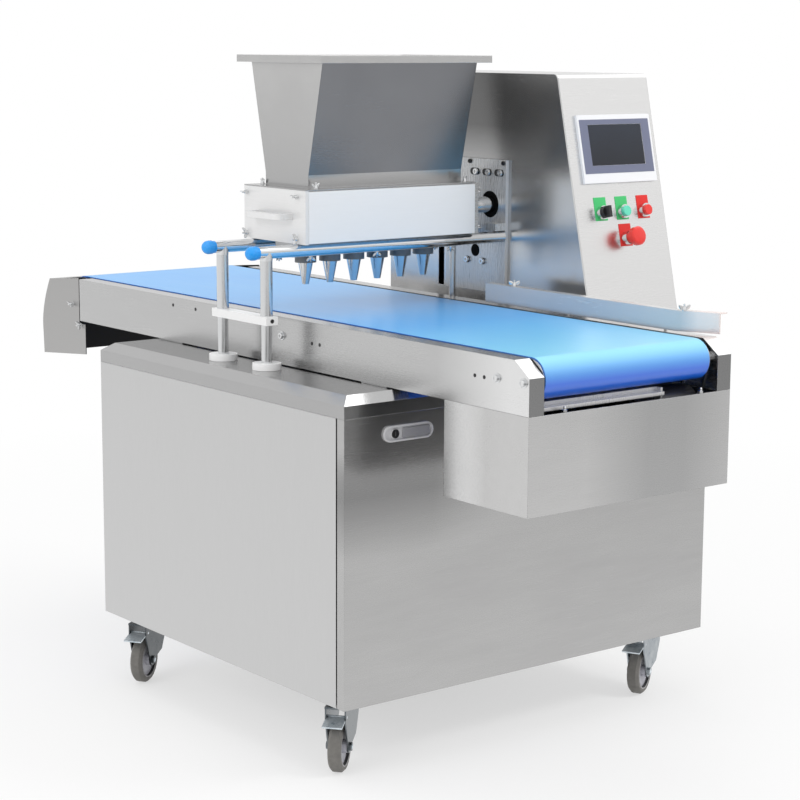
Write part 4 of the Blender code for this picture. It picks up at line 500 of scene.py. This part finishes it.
rod_finish = two_finishes("slide_rod_and_ball", ball, BALL_BLUE, 0.26, grey(0.76, COOL), 0.10)
post_finish = two_finishes("post_and_foot", foot, grey(0.98), 0.4, grey(0.66, COOL), 0.15)
link_finish = two_finishes("link_and_sleeves", link, grey(0.84), 0.36, grey(0.66, COOL), 0.15)
nozzle_finish = two_finishes(
    "nozzle_cone_and_flange", flange, grey(0.17, -0.03), 0.42, grey(0.68, -0.02), 0.16
)

# ---------------------------------------------------------------- shapes


class Form:
    """Grids of points gathered into one mesh."""

    def __init__(self):
        self.points, self.faces, self.count = [], [], 0

    def grid(self, rows, ends=True):
        """Adds rows x columns points, closed round the columns. Closed ends get a centre point."""
        rows = np.asarray(rows, float)
        high, wide = rows.shape[:2]
        index = np.arange(high * wide).reshape(high, wide) + self.count
        beside = np.roll(index, -1, axis=1)
        quads = np.stack([index[:-1], beside[:-1], beside[1:], index[1:]], -1).reshape(-1, 4)
        self.points.append(rows.reshape(-1, 3))
        self.faces += quads.tolist()
        self.count += high * wide
        if ends:
            self.points.append(rows[[0, -1]].mean(axis=1))
            last = np.full(wide, self.count + 1)
            self.faces += np.stack([beside[0], index[0], last - 1], -1).tolist()
            self.faces += np.stack([index[-1], beside[-1], last], -1).tolist()
            self.count += 2
        return self

    def ring(self, rows):
        """Adds a surface closed both ways, such as a plate with a hole."""
        rows = np.asarray(rows, float)
        return self.grid(np.concatenate([rows, rows[:1]]), ends=False)

    def made(self, name, finish, body, angle=35.0):
        """The mesh object: doubles merged, normals outward, smooth but for its sharp edges."""
        mesh = bpy.data.meshes.new(name)
        mesh.from_pydata(np.concatenate(self.points).tolist(), [], self.faces)
        piece = bpy.data.objects.new(name, mesh)
        bpy.context.scene.collection.objects.link(piece)
        mesh.materials.append(finish.material)
        tidy_mesh(mesh)
        soften(piece, angle)
        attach(piece, body)
        return piece


def tidy_mesh(mesh):
    """Merges doubles and turns every face outward."""
    shape = bmesh.new()
    shape.from_mesh(mesh)
    bmesh.ops.remove_doubles(shape, verts=shape.verts, dist=1e-7)
    bmesh.ops.recalc_face_normals(shape, faces=shape.faces)
    shape.to_mesh(mesh)
    shape.free()


def soften(piece, angle, weld=False):
    """Smooth shading that keeps flat faces flat: edges sharper than the angle stay sharp."""
    mesh = piece.data
    mesh.polygons.foreach_set("use_smooth", np.ones(len(mesh.polygons), bool))
    if weld:
        piece.modifiers.new("joined", "WELD").merge_threshold = 1e-5
    piece.modifiers.new("sharp", "EDGE_SPLIT").split_angle = math.radians(angle)
    weighted = piece.modifiers.new("flat", "WEIGHTED_NORMAL")
    weighted.mode, weighted.weight, weighted.keep_sharp = "FACE_AREA", 60, True


def unit(vector):
    vector = np.asarray(vector, float)
    return vector / np.linalg.norm(vector)


def turns(sides):
    return np.arange(sides) * FULL_TURN / sides


def square_to(axis):
    """Two unit vectors square to the axis and to each other."""
    helper = X if abs(axis[0]) < 0.9 else Z
    side = unit(np.cross(axis, helper))
    return side, np.cross(axis, side)


def turned(form, foot, axis, profile, sides=28, shape=None):
    """Profile carried round an axis: foot + axis h + r s(u) (cos u side + sin u up).

    r and h are the profile's values. s(u) is 1, or shape(u) where they are followed by a 1.
    """
    axis = unit(axis)
    side, up = square_to(axis)
    u = turns(sides)
    arm = np.cos(u)[:, None] * side + np.sin(u)[:, None] * up
    rows = []
    for radius, height, *shaped in profile:
        out = radius * (shape(u) if shaped else np.ones(sides))
        rows.append(np.asarray(foot) + axis * height + arm * out[:, None])
    return form.grid(rows)


def hexagon(u):
    """Distance to a hexagon's side at angle u, where the distance to its flats is 1."""
    third = HALF_TURN / 3
    return 1 / np.cos((u % third) - third / 2)


def wing_nut(form, seat, axis, across, scale):
    """A pressed wing nut on a stud: turned washer, hub and stud, and two wings, flat ellipses.

    A wing, in millimetres times the scale, for v from 0 at the hub to 1 at the tip:
    centre = seat + across (2.8 + 8.2 v) + axis (4.3 + 6.2 v^1.6), half thickness = 0.9,
    half width = 3.8 times the root of sin(pi (0.22 + 0.78 v)), plus 0.2.
    """
    axis, across = unit(axis), unit(across)
    seat = np.asarray(seat, float)
    washer = [(0.0052, 0), (0.0052, 0.0009), (0.0044, 0.0012)]
    hub = [(0.0043, 0.0010), (0.0043, 0.0016), (0.0036, 0.0062), (0.0031, 0.0071)]
    hub += [(0.0022, 0.0072)]
    stud = [(0.0019 + 0.0002 * (i % 2), 0.006 + 0.0005 * i) for i in range(13)]
    stud += [(0.0014, 0.0127)]
    for profile, sides in ((washer, 20), (hub, 20), (stud, 14)):
        turned(form, seat, axis, [(r * scale, h * scale) for r, h in profile], sides)
    thick = np.cross(axis, across)
    u, v = turns(12), np.linspace(0, 1, 9)[:, None]
    for way in (1, -1):
        centre = way * across * (0.0028 + 0.0082 * v) + axis * (0.0043 + 0.0062 * v**1.6)
        slope = unit(way * across * 0.0082 + axis * 0.0075)
        width = np.cross(thick, slope)
        half = 0.0038 * np.sin(HALF_TURN * (0.22 + 0.78 * v)) ** 0.5 + 0.0002
        section = half[..., None] * np.cos(u)[None, :, None] * width
        section = section + 0.0009 * np.sin(u)[None, :, None] * thick
        form.grid(seat + (centre[:, None, :] + section) * scale)
    return form


def socket_screw(form, seat, axis, radius, height):
    """A cap screw: the profile climbs the head, turns in and drops down its hexagon socket."""
    socket = 0.48 * radius
    profile = [
        (radius, 0), (radius, height * 0.8), (radius * 0.9, height), (radius * 0.68, height),
        (socket, height, 1), (socket * 0.98, height * 0.35, 1),
    ]
    return turned(form, seat, axis, profile, sides=24, shape=hexagon)


def rounded_outline(width, height, corner, steps=8):
    """Points round a rectangle: a quarter circle of the corner radius at each corner."""
    quarters = np.arange(4) * QUARTER_TURN
    u = np.linspace(0, QUARTER_TURN, steps + 1)[None] + quarters[:, None]
    way = quarters + QUARTER_TURN / 2
    side, up = np.sign(np.cos(way))[:, None], np.sign(np.sin(way))[:, None]
    across = side * (width / 2 - corner) + corner * np.cos(u)
    above = up * (height / 2 - corner) + corner * np.sin(u)
    return across.ravel(), above.ravel()


class Face:
    """A flat place on the machine: a point on it, its directions across and up, and the way out."""

    def __init__(self, foot, across, up):
        self.foot, self.across, self.up = (np.asarray(v, float) for v in (foot, across, up))
        self.out = np.cross(self.across, self.up)

    def at(self, across, up, out):
        across, up, out = (np.asarray(v, float)[..., None] for v in (across, up, out))
        return self.foot + across * self.across + up * self.up + out * self.out


def bordered_plate(
    form, face, middle, size, thick, corner, lift=0.0, hole=None, hole_middle=None
):
    """A plate with a chamfered edge. With a hole, its surface turns down the wall and closes.

    The hole is its outline, or the radius of a round one, set out towards the outline's points.
    """
    chamfer = min(0.0004, thick * 0.4)
    wide, high = rounded_outline(*size, corner)
    narrow, low = rounded_outline(size[0] - 2 * chamfer, size[1] - 2 * chamfer, corner)
    mid_a, mid_u = middle
    hole_a, hole_u = hole_middle or middle
    if isinstance(hole, float):
        way = np.arctan2(mid_u + high - hole_u, mid_a + wide - hole_a)
        hole = (hole * np.cos(way), hole * np.sin(way))
    rows = [
        face.at(mid_a + wide, mid_u + high, np.full_like(wide, lift)),
        face.at(mid_a + wide, mid_u + high, np.full_like(wide, lift + thick - chamfer)),
        face.at(mid_a + narrow, mid_u + low, np.full_like(wide, lift + thick)),
    ]
    if hole is None:
        return form.grid(rows)
    for height in (lift + thick, lift):
        inner_a, inner_u = hole
        rows.append(face.at(hole_a + inner_a, hole_u + inner_u, np.full_like(wide, height)))
    return form.ring(rows)


# ---------------------------------------------------------------- finishes on the solid parts

CASTERS = {"fl": (-0.409, -0.4105, 50.0), "fr": (0.409, -0.4105, 63.0)}
CASTERS |= {"bl": (-0.409, 0.3155, 54.5), "br": (0.409, 0.3155, -54.5)}
# Each corner's fork gets its own zinc level: lit and shaded copies of one zinc, painted light and
# shade.
FORK_ZINC_PAINTED_SHADE = {"fl": 0.14, "fr": 0.30, "bl": 0.08, "br": 0.18}
WHEEL_TRAIL, AXLE_HEIGHT = 0.022, 0.051


def wheel_axle(corner):
    """The middle of a caster's wheel and the way its axle lies, turned to its heading."""
    x, y, heading = CASTERS[corner]
    turn = math.radians(heading)
    trail = WHEEL_TRAIL * np.array((math.sin(turn), math.cos(turn), 0.0))
    return np.array((x, y, AXLE_HEIGHT)) - trail, np.array((math.cos(turn), -math.sin(turn), 0.0))


node_finishes = {
    "base_frame": inner_sheet, "cabinet_shell": side_sheet, "top_lid": lid_sheet,
    "control_tray": inner_sheet, "rail_left": rail_sheet, "rail_right": rail_sheet,
    "bed_plate": rail_sheet, "conveyor_belt": belt_cloth(), "motor_bracket": carriage_sheet,
    "drive_box": drive_sheet, "end_guard": hood_sheet, "chain_guard": guard_sheet,
    "belt_gearmotor": black_enamel, "drive_chain": chain_steel, "tower_shell": tower_sheet,
    "tower_side_plate": plate_sheet, "touch_panel": bezel_moulded, "switch_block": bright,
    "post_front": post_finish, "post_back": post_finish, "lift_unit": dull_bright,
    "carriage_plate": carriage_sheet, "slide_rod_front": rod_finish,
    "slide_rod_back": rod_finish, "post_yoke": link_finish, "pump_housing": pump_sheet,
    "pump_front_cover": cover_sheet, "end_cover": end_cover_sheet, "nozzle_bar": pump_sheet,
    "hopper": hopper_sheet, "feed_gearmotor": gearmotor_finish(), "rotor_drive": bright,
    "rotor_driven": bright, "drive_roller": dull_bright, "idler_roller": dull_bright,
    "front_panel": front_sheet, "latch_housing": latch_casting, "latch_lever": lever_satin,
    "selector_knob": black_moulded, "green_button": green_moulded, "red_button": red_moulded,
    "estop_button": red_moulded,
}
node_finishes |= {f"nozzle_{number}": nozzle_finish for number in range(1, 7)}
for corner in CASTERS:
    centre, axle = (tuple(vector) for vector in wheel_axle(corner))
    node_finishes[f"caster_{corner}_wheel"] = wheel_finish(f"wheel_{corner}_finish", centre, axle)
    # Each fork's zinc finish is its corner's copy, painted lighter or darker.
    node_finishes[f"caster_{corner}_fork"] = zinc_plate(f"zinc_{corner}", FORK_ZINC_PAINTED_SHADE[corner])
    node_finishes[f"caster_{corner}_pedal"] = bright_zinc

for name, node in NODES.items():
    for place in range(len(node.data.materials)):
        node.data.materials[place] = node_finishes[name].material
    soften(node, 32.0, weld=True)

# ---------------------------------------------------------------- wing nuts


def between(first, second, angle):
    """The way that lies at the angle from the first direction towards the second."""
    return math.cos(angle) * first + math.sin(angle) * second


def wing_nuts(name, body, places, scale=1.0):
    """Wing nuts as one piece. Each place is a seat, the way out and the way the wings lie."""
    form = Form()
    for seat, axis, across in places:
        wing_nut(form, seat, axis, across, scale)
    return form.made(name, bright, body, 40)


RAIL_SIDES = ((-0.3490, -X), (0.157, X))
COVER_X, HOUSING_END = -0.3278, 0.126
HOUSING_TOP, BAR_UNDERSIDE, GUIDE_BLOCK_Z, GUARD_LIP = 1.1093, 0.9672, 0.9755, 0.8960
GUARD_NUT_X = 0.1375

# Where the nuts stand on each face, and the angle of their wings.
COVER_NUTS = ((0.0285, 1.094, 0.1), (-0.1500, 1.094, 0.3))
COVER_NUTS += ((0.0285, 1.010, 1.2), (-0.1500, 1.010, 1.4))
HOPPER_NUTS = ((-0.290, -0.1605, 0.2), (0.096, -0.1605, 0.5))
HOPPER_NUTS += ((-0.297, 0.0175, 1.3), (0.096, 0.0275, 0.8))
BAR_NUTS = ((-0.2985, -0.0430, 0.4), (-0.2560, -0.0957, 0.0), (-0.0862, -0.0957, 0.05))
BAR_NUTS += ((0.1130, -0.0957, 0.0), (0.1130, -0.0415, 0.3))
HOUSING_NUTS = ((-0.160, 1.095, 0.9), (-0.160, 1.014, 0.3))
HOUSING_NUTS += ((0.028, 1.095, 0.5), (0.028, 1.014, 1.1))
HOOD_NUTS = ((0.7285, 0.792, 0.5), (0.6935, 0.746, 0.9))

wing_nuts(
    "cover_wing_nuts", "head",
    [((COVER_X, y, z), -X, between(Y, Z, angle)) for y, z, angle in COVER_NUTS],
)
wing_nuts(
    "hopper_wing_nuts", "head",
    [((x, y, HOUSING_TOP), Z, between(X, Y, angle)) for x, y, angle in HOPPER_NUTS],
)
wing_nuts(
    "nozzle_bar_wing_nuts", "head",
    [((x, y, BAR_UNDERSIDE), -Z, between(X, Y, angle)) for x, y, angle in BAR_NUTS], 0.95,
)
wing_nuts(
    "guide_block_wing_nut", "head", [((0.1470, -0.0835, GUIDE_BLOCK_Z), -Y, (0.5, 0, 0.8))], 0.9
)
wing_nuts(
    "housing_end_wing_nuts", "head",
    [((HOUSING_END, y, z), X, between(Y, Z, angle)) for y, z, angle in HOUSING_NUTS],
)
wing_nuts(
    "hood_wing_nuts", "root",
    [
        ((x, y, z), out, between(Y, Z, angle))
        for x, out in RAIL_SIDES
        for y, z, angle in HOOD_NUTS
    ],
)
wing_nuts(
    "guard_wing_nuts", "root",
    [
        ((GUARD_NUT_X, y, GUARD_LIP), Z, across)
        for y, across in ((-0.2765, (0.79, -0.61, 0)), (-0.7700, (0.90, -0.42, 0)))
    ],
    1.05,
)

# ---------------------------------------------------------------- fittings

CARRIAGE_FACE, CARRIAGE_MIDDLE, CARRIAGE_EDGE = 0.2143, 0.2182, -0.1565
SLOT_ROW, RING_ROW, HOLE_ROW = 1.122, 0.928, 0.9500
SLOTS, RINGS = (-0.1340, -0.0940, -0.0535), (-0.0835, -0.0315)
SLOT_SIZE, RING_SIZE, SLOT_THICK = (0.0310, 0.0150), (0.0152, 0.0152), 0.0006
CARRIAGE_SCREWS = [(y, SLOT_ROW) for y in (-0.1400, -0.1000, -0.0595)]
CARRIAGE_SCREWS += [(y, RING_ROW) for y in RINGS]
BLACK_SCREWS = ((-0.1490, 1.1435), (-0.0375, 1.1435), (0.0330, 1.1435), (-0.1440, 0.8720))

form = Form()
for y, z in CARRIAGE_SCREWS:
    socket_screw(form, (CARRIAGE_FACE, y, z), -X, radius=0.0068, height=0.0064)
form.made("carriage_screws", bright, "head")
carriage_side = Face((CARRIAGE_FACE, 0, 0), -Y, Z)
# The black plates in the carriage plate's slots and round holes are painted shade, standing in for
# the shaded openings.
form = Form()
for y in SLOTS:
    bordered_plate(form, carriage_side, (-y, SLOT_ROW), SLOT_SIZE, SLOT_THICK, corner=0.0074)
for y in RINGS:
    bordered_plate(form, carriage_side, (-y, RING_ROW), RING_SIZE, SLOT_THICK, corner=0.0075)
form.made("carriage_slot_painted_shade", black_moulded, "head")
# A matt black disc over the carriage plate's hole: painted shade, standing in for the shaded hole.
form = Form()
plug = [(0.0134, 0), (0.0134, 0.0008), (0.0126, 0.0012)]
turned(form, (CARRIAGE_FACE, -0.0575, HOLE_ROW), -X, plug, sides=40)
form.made("carriage_hole_painted_shade", painted_hole_shade, "head")
# A light strip on the carriage plate's front edge: a painted highlight, which also hides the shaded
# gap beside it.
form = Form()
carriage_edge = Face((CARRIAGE_MIDDLE, CARRIAGE_EDGE, 1.006), X, Z)
bordered_plate(form, carriage_edge, (0, 0), size=(0.0078, 0.2876), thick=0.0006, corner=0.0002)
form.made("carriage_edge_painted_highlight", latch_casting, "head")
form = Form()
for y, z in BLACK_SCREWS:
    socket_screw(form, (CARRIAGE_FACE, y, z), -X, radius=0.0048, height=0.0040)
form.made("carriage_black_screws", black_moulded, "head")

FRONT_END, RAIL_TOP = -0.8755, 0.8525
# How far behind the rail's front end each hole is, and how far below its top.
RAIL_HOLES = ((0.121, 0.041), (0.147, 0.041), (0.621, 0.042), (0.647, 0.042))
RAIL_HOLES += ((1.073, 0.018), (1.163, 0.018))
SCREW_DROP, SCREW_LIFT = 0.038, 0.0001

# Black domes over the rails' holes: painted shade, standing in for the holes' shaded insides.
form = Form()
plug = [(0.0036, 0), (0.0036, 0.0004), (0.0030, 0.0008), (0.0014, 0.0010)]
for behind, below in RAIL_HOLES:
    for x, out in RAIL_SIDES:
        turned(form, (x, FRONT_END + behind, RAIL_TOP - below), out, plug, sides=20)
form.made("rail_hole_painted_shade", black_moulded, "root")
form = Form()
washer = [(0.0092, 0), (0.0092, 0.0010), (0.0086, 0.0013)]
for x, out in RAIL_SIDES:
    for behind in (0.015, 0.086, 0.750):
        seat = np.array((x, FRONT_END + behind, RAIL_TOP - SCREW_DROP)) + out * SCREW_LIFT
        turned(form, seat, out, washer)
        socket_screw(form, seat, out, radius=0.0065, height=0.0062)
form.made("rail_screws", bright, "root")

STUD_Y, STUD_FOOT, NUT_FOOT = -0.8704, 0.7415, 0.7560
form = Form()
thread = [(0.0027 + 0.0003 * (i % 2), 0.001 * i) for i in range(24)] + [(0.0018, 0.0245)]
nut = [(0.0052, 0, 1), (0.0052, 0.0042, 1), (0.0046, 0.0048)]
for x in (-0.2604, 0.0830):
    turned(form, (x, STUD_Y, STUD_FOOT), Z, thread, sides=16)
    turned(form, (x, STUD_Y, NUT_FOOT), Z, nut, sides=24, shape=hexagon)
form.made("drive_box_studs", bright, "root")

POST_X, LINK_SCREW_Z = -0.4016, 0.8520
form = Form()
for y, out in ((-0.1670, -Y), (0.0300, Y)):
    socket_screw(form, (POST_X, y, LINK_SCREW_Z), out, radius=0.0042, height=0.0008)
form.made("link_set_screws", black_moulded, "head")

ROD_RADIUS, ROD_AXIS, SLEEVE_TOP = 0.0125, 0.9867, 0.9738
NECK_OUTSIDE, NECK_INSIDE, NECK_SINK, WELD_SINK = 0.0127, 0.0112, 0.0030, 0.0002


def weld_neck(form, y):
    """A tube from a post's sleeve up to the rod that crosses it, cut to the rod's underside.

    Top height at angle u = rod axis - the root of (rod radius^2 - (tube radius sin u)^2).
    """
    u = turns(40)
    rows = []
    for radius, top in (
        (NECK_OUTSIDE, False), (NECK_OUTSIDE, True), (NECK_INSIDE, True), (NECK_INSIDE, False)
    ):
        across = np.minimum(np.abs(radius * np.sin(u)), ROD_RADIUS)
        joint = ROD_AXIS - np.sqrt(ROD_RADIUS**2 - across**2) + WELD_SINK
        height = joint if top else np.full_like(u, SLEEVE_TOP - NECK_SINK)
        rows.append(np.stack([POST_X + radius * np.cos(u), y + radius * np.sin(u), height], -1))
    return form.ring(rows)


form = Form()
for y in (-0.14725, 0.01025):
    weld_neck(form, y)
form.made("sleeve_weld_necks", bright, "head")

KEY_X, KEY_Z, LATCH_FACE = -0.3640, 0.6745, -0.5175
form = Form()
cylinder = [(0.0088, 0), (0.0088, 0.0006), (0.0080, 0.0010), (0.0076, 0.0007)]
turned(form, (KEY_X, LATCH_FACE, KEY_Z), -Y, cylinder, sides=36)
form.made("lock_face", black_moulded, "front_panel")
keyhole = Face((KEY_X, LATCH_FACE - 0.0007, KEY_Z), X, Z)
form = Form()
bordered_plate(form, keyhole, (0, 0), size=(0.0022, 0.0082), thick=0.0002, corner=0.0008)
form.made("keyhole", chain_steel, "front_panel")

FORK_AXLE_END = 0.0255
cap = [(0.0050, 0), (0.0050, 0.0004), (0.0040, 0.0012)]
for corner in CASTERS:
    centre, axle = wheel_axle(corner)
    form = Form()
    for out in (axle, -axle):
        turned(form, centre + out * FORK_AXLE_END, out, cap, sides=24)
    form.made(f"caster_{corner}_axle_caps", bright_zinc, f"caster_{corner}_fork")

# ---------------------------------------------------------------- the tower's front

tower_front = Face((0.2223, -0.435, 0.7538), X, (0, 0.221091, 0.975253))
LEGEND_WIDTH, LEGEND_FOOT, LEGEND_THICK, LEGEND_CORNER = 0.034, -0.0165, 0.0012, 0.0008
RING_HOLE = 0.0149
# Each button's place across and up the front, and how far its plate reaches above it.
legends = {
    "selector": ((0.0725, 0.3015), 0.033, green_plate, "green_plastic"),
    "start": ((0.1335, 0.3015), 0.033, green_plate, "green_plastic"),
    "stop": ((0.1955, 0.3015), 0.033, red_plate, "red_plastic"),
    "emergency": ((0.1345, 0.2450), 0.031, red_plate, "red_plastic"),
}
for name, (button, top, finish, slot) in legends.items():
    form = Form()
    bordered_plate(
        form, tower_front, (button[0], button[1] + (LEGEND_FOOT + top) / 2),
        (LEGEND_WIDTH, top - LEGEND_FOOT), LEGEND_THICK, LEGEND_CORNER,
        hole=RING_HOLE, hole_middle=button,
    )
    form.made(f"{name}_legend_plate", finish, "root")

SCREEN_MIDDLE, SCREEN_SIZE, SCREEN_THICK = (0.1375, 0.4435), (0.1534, 0.0859), 0.0011
INNER_MIDDLE, INNER_SIZE, INNER_OPENING = (0.1375, 0.4405), (0.200, 0.114), (0.1544, 0.0869)
INNER_THICK, INNER_CORNER, SCREEN_CORNER = 0.0004, 0.001, 0.0008
BEZEL_DEPTH, RECESS_DEPTH = 0.007, 0.0015
form = Form()
bordered_plate(
    form, tower_front, SCREEN_MIDDLE, SCREEN_SIZE, SCREEN_THICK, SCREEN_CORNER,
    BEZEL_DEPTH - RECESS_DEPTH,
)
form.made("screen_glass", glass, "root")
form = Form()
bordered_plate(
    form, tower_front, INNER_MIDDLE, INNER_SIZE, INNER_THICK, INNER_CORNER, BEZEL_DEPTH,
    rounded_outline(*INNER_OPENING, SCREEN_CORNER), SCREEN_MIDDLE,
)
form.made("screen_inner_frame", frame_print, "root")

# ---------------------------------------------------------------- floor, light and camera

DIM_PATCH = (-2.7, -3.5, 0.0)
FLOOR_REACH = 40.0


def pale_floor():
    """A matt white floor that keeps a soft shadow and fades to white away from the machine.

    In reflections it is white near the machine, a little greyer towards the front right, dim in a
    patch at the front left, and dim again far off, as a studio's floor is beyond its lamps.
    """
    finish = Finish("pale_floor")
    off = finish.vector("LENGTH", finish.place)
    fade = ((off - 1.1) * 0.16 + 0.66).kept(0.0, 1.0)
    right_tone = ((finish.along("X") - finish.along("Y")) * -0.035 + 1.02).kept(0.78, 1.0)
    patch = (finish.vector("DISTANCE", finish.place, DIM_PATCH) * 0.40 - 0.30).kept(0.08, 1.0)
    distant = (off * -0.02 + 1.30).kept(0.55, 1.0)
    seen = fade * (finish.ray("Is Camera Ray") + finish.ray("Is Transmission Ray"))
    matt = finish.node("ShaderNodeBsdfDiffuse", {}, {"Color": grey(0.90)})
    white = finish.node("ShaderNodeEmission", {}, {"Strength": 1.0})
    shown = finish.node("ShaderNodeMixShader", {}, {0: seen, 1: matt, 2: white})
    level = right_tone * patch * distant
    mirrored = finish.node("ShaderNodeEmission", {}, {"Strength": level})
    sorted_rays = {0: finish.ray("Is Glossy Ray"), 1: shown, 2: mirrored}
    whole = finish.node("ShaderNodeMixShader", {}, sorted_rays)
    surface = finish.tree.nodes["Material Output"].inputs["Surface"]
    finish.tree.links.new(whole.socket, surface)
    return finish.material


def lay_floor():
    """One square, 80 m wide, on the ground."""
    mesh = bpy.data.meshes.new("floor")
    corners = [(-1, -1, 0), (1, -1, 0), (1, 1, 0), (-1, 1, 0)]
    mesh.from_pydata((np.array(corners) * FLOOR_REACH).tolist(), [], [(0, 1, 2, 3)])
    mesh.materials.append(pale_floor())
    piece = bpy.data.objects.new("floor", mesh)
    bpy.context.scene.collection.objects.link(piece)


lay_floor()

WORLD_ON_MATT, HORIZON = 0.78, 0.55
LAMP_WAY, LAMP_GLOW = (0.606, -0.180, 0.775), 0.9


def studio_world():
    """White where it is seen. Mirrored, it is dim along the horizon and has a glow overhead.

    On matt surfaces it is one plain level.
    """
    world = bpy.data.worlds.new("studio")
    world.use_nodes = True
    sky = Shading(world.node_tree)
    way = sky.node("ShaderNodeTexCoord", {}, {}, "Generated")
    climb = sky.part(way, "Z").grade(0.03, 0.155)
    glow = sky.vector("DOT_PRODUCT", way, LAMP_WAY).grade(0.8, 1.0)
    mirrored = climb * (1 - HORIZON) + HORIZON + glow * LAMP_GLOW
    seen = sky.ray("Is Camera Ray").at_least(sky.ray("Is Transmission Ray"))
    plain = seen * (1 - WORLD_ON_MATT) + WORLD_ON_MATT
    levels = {0: sky.ray("Is Glossy Ray"), 2: plain, 3: mirrored}
    level = sky.node("ShaderNodeMix", {"data_type": "FLOAT"}, levels)
    background = world.node_tree.nodes["Background"]
    background.inputs["Color"].default_value = (1, 1, 1, 1)
    world.node_tree.links.new(level.socket, background.inputs["Strength"])
    return world


bpy.context.scene.world = studio_world()


def soft_lamp(name, place, aim, size, power):
    """A rectangular lamp that points at its aim and doesn't show in reflections."""
    lamp = bpy.data.lights.new(name, "AREA")
    lamp.shape, lamp.size, lamp.size_y, lamp.energy = "RECTANGLE", size[0], size[1], power
    piece = bpy.data.objects.new(name, lamp)
    piece.location = place
    piece.rotation_euler = (Vector(aim) - Vector(place)).to_track_quat("-Z", "Y").to_euler()
    piece.visible_glossy = False
    bpy.context.scene.collection.objects.link(piece)


soft_lamp("key_lamp", (2.6, -4.0, 4.0), (0, 0, 0.8), (1.6, 1.2), 85.0)
soft_lamp("side_lamp", (-4.6, -0.6, 3.2), (0, 0, 0.7), (2.4, 2.0), 55.0)
soft_lamp("top_lamp", (-0.4, 0.4, 5.2), (0, 0, 0.8), (2.6, 2.6), 40.0)

CAMERA_PLACE = (-2.7233, -3.5435, 1.400)
HEADING, PITCH, ROLL = (math.radians(angle) for angle in (38.065, 9.775, 0.294))
FOCAL_PIXELS, FRAME_PIXELS, SENSOR = 2082.1, 800, 36.0
camera = bpy.data.cameras.new("camera")
camera.sensor_width, camera.sensor_height, camera.sensor_fit = SENSOR, SENSOR, "HORIZONTAL"
camera.lens = FOCAL_PIXELS / FRAME_PIXELS * SENSOR
camera_piece = bpy.data.objects.new("camera", camera)
bpy.context.scene.collection.objects.link(camera_piece)
ahead = Vector((
    math.sin(HEADING) * math.cos(PITCH), math.cos(HEADING) * math.cos(PITCH), -math.sin(PITCH)
))
right = Vector((math.cos(HEADING), -math.sin(HEADING), 0))
above = right.cross(ahead)
turned_right = right * math.cos(ROLL) + above * math.sin(ROLL)
turned_above = above * math.cos(ROLL) - right * math.sin(ROLL)
camera_piece.matrix_world = Matrix((
    (turned_right.x, turned_above.x, -ahead.x, CAMERA_PLACE[0]),
    (turned_right.y, turned_above.y, -ahead.y, CAMERA_PLACE[1]),
    (turned_right.z, turned_above.z, -ahead.z, CAMERA_PLACE[2]),
    (0, 0, 0, 1),
))
bpy.context.scene.camera = camera_piece
bpy.context.scene.view_settings.view_transform = "Standard"
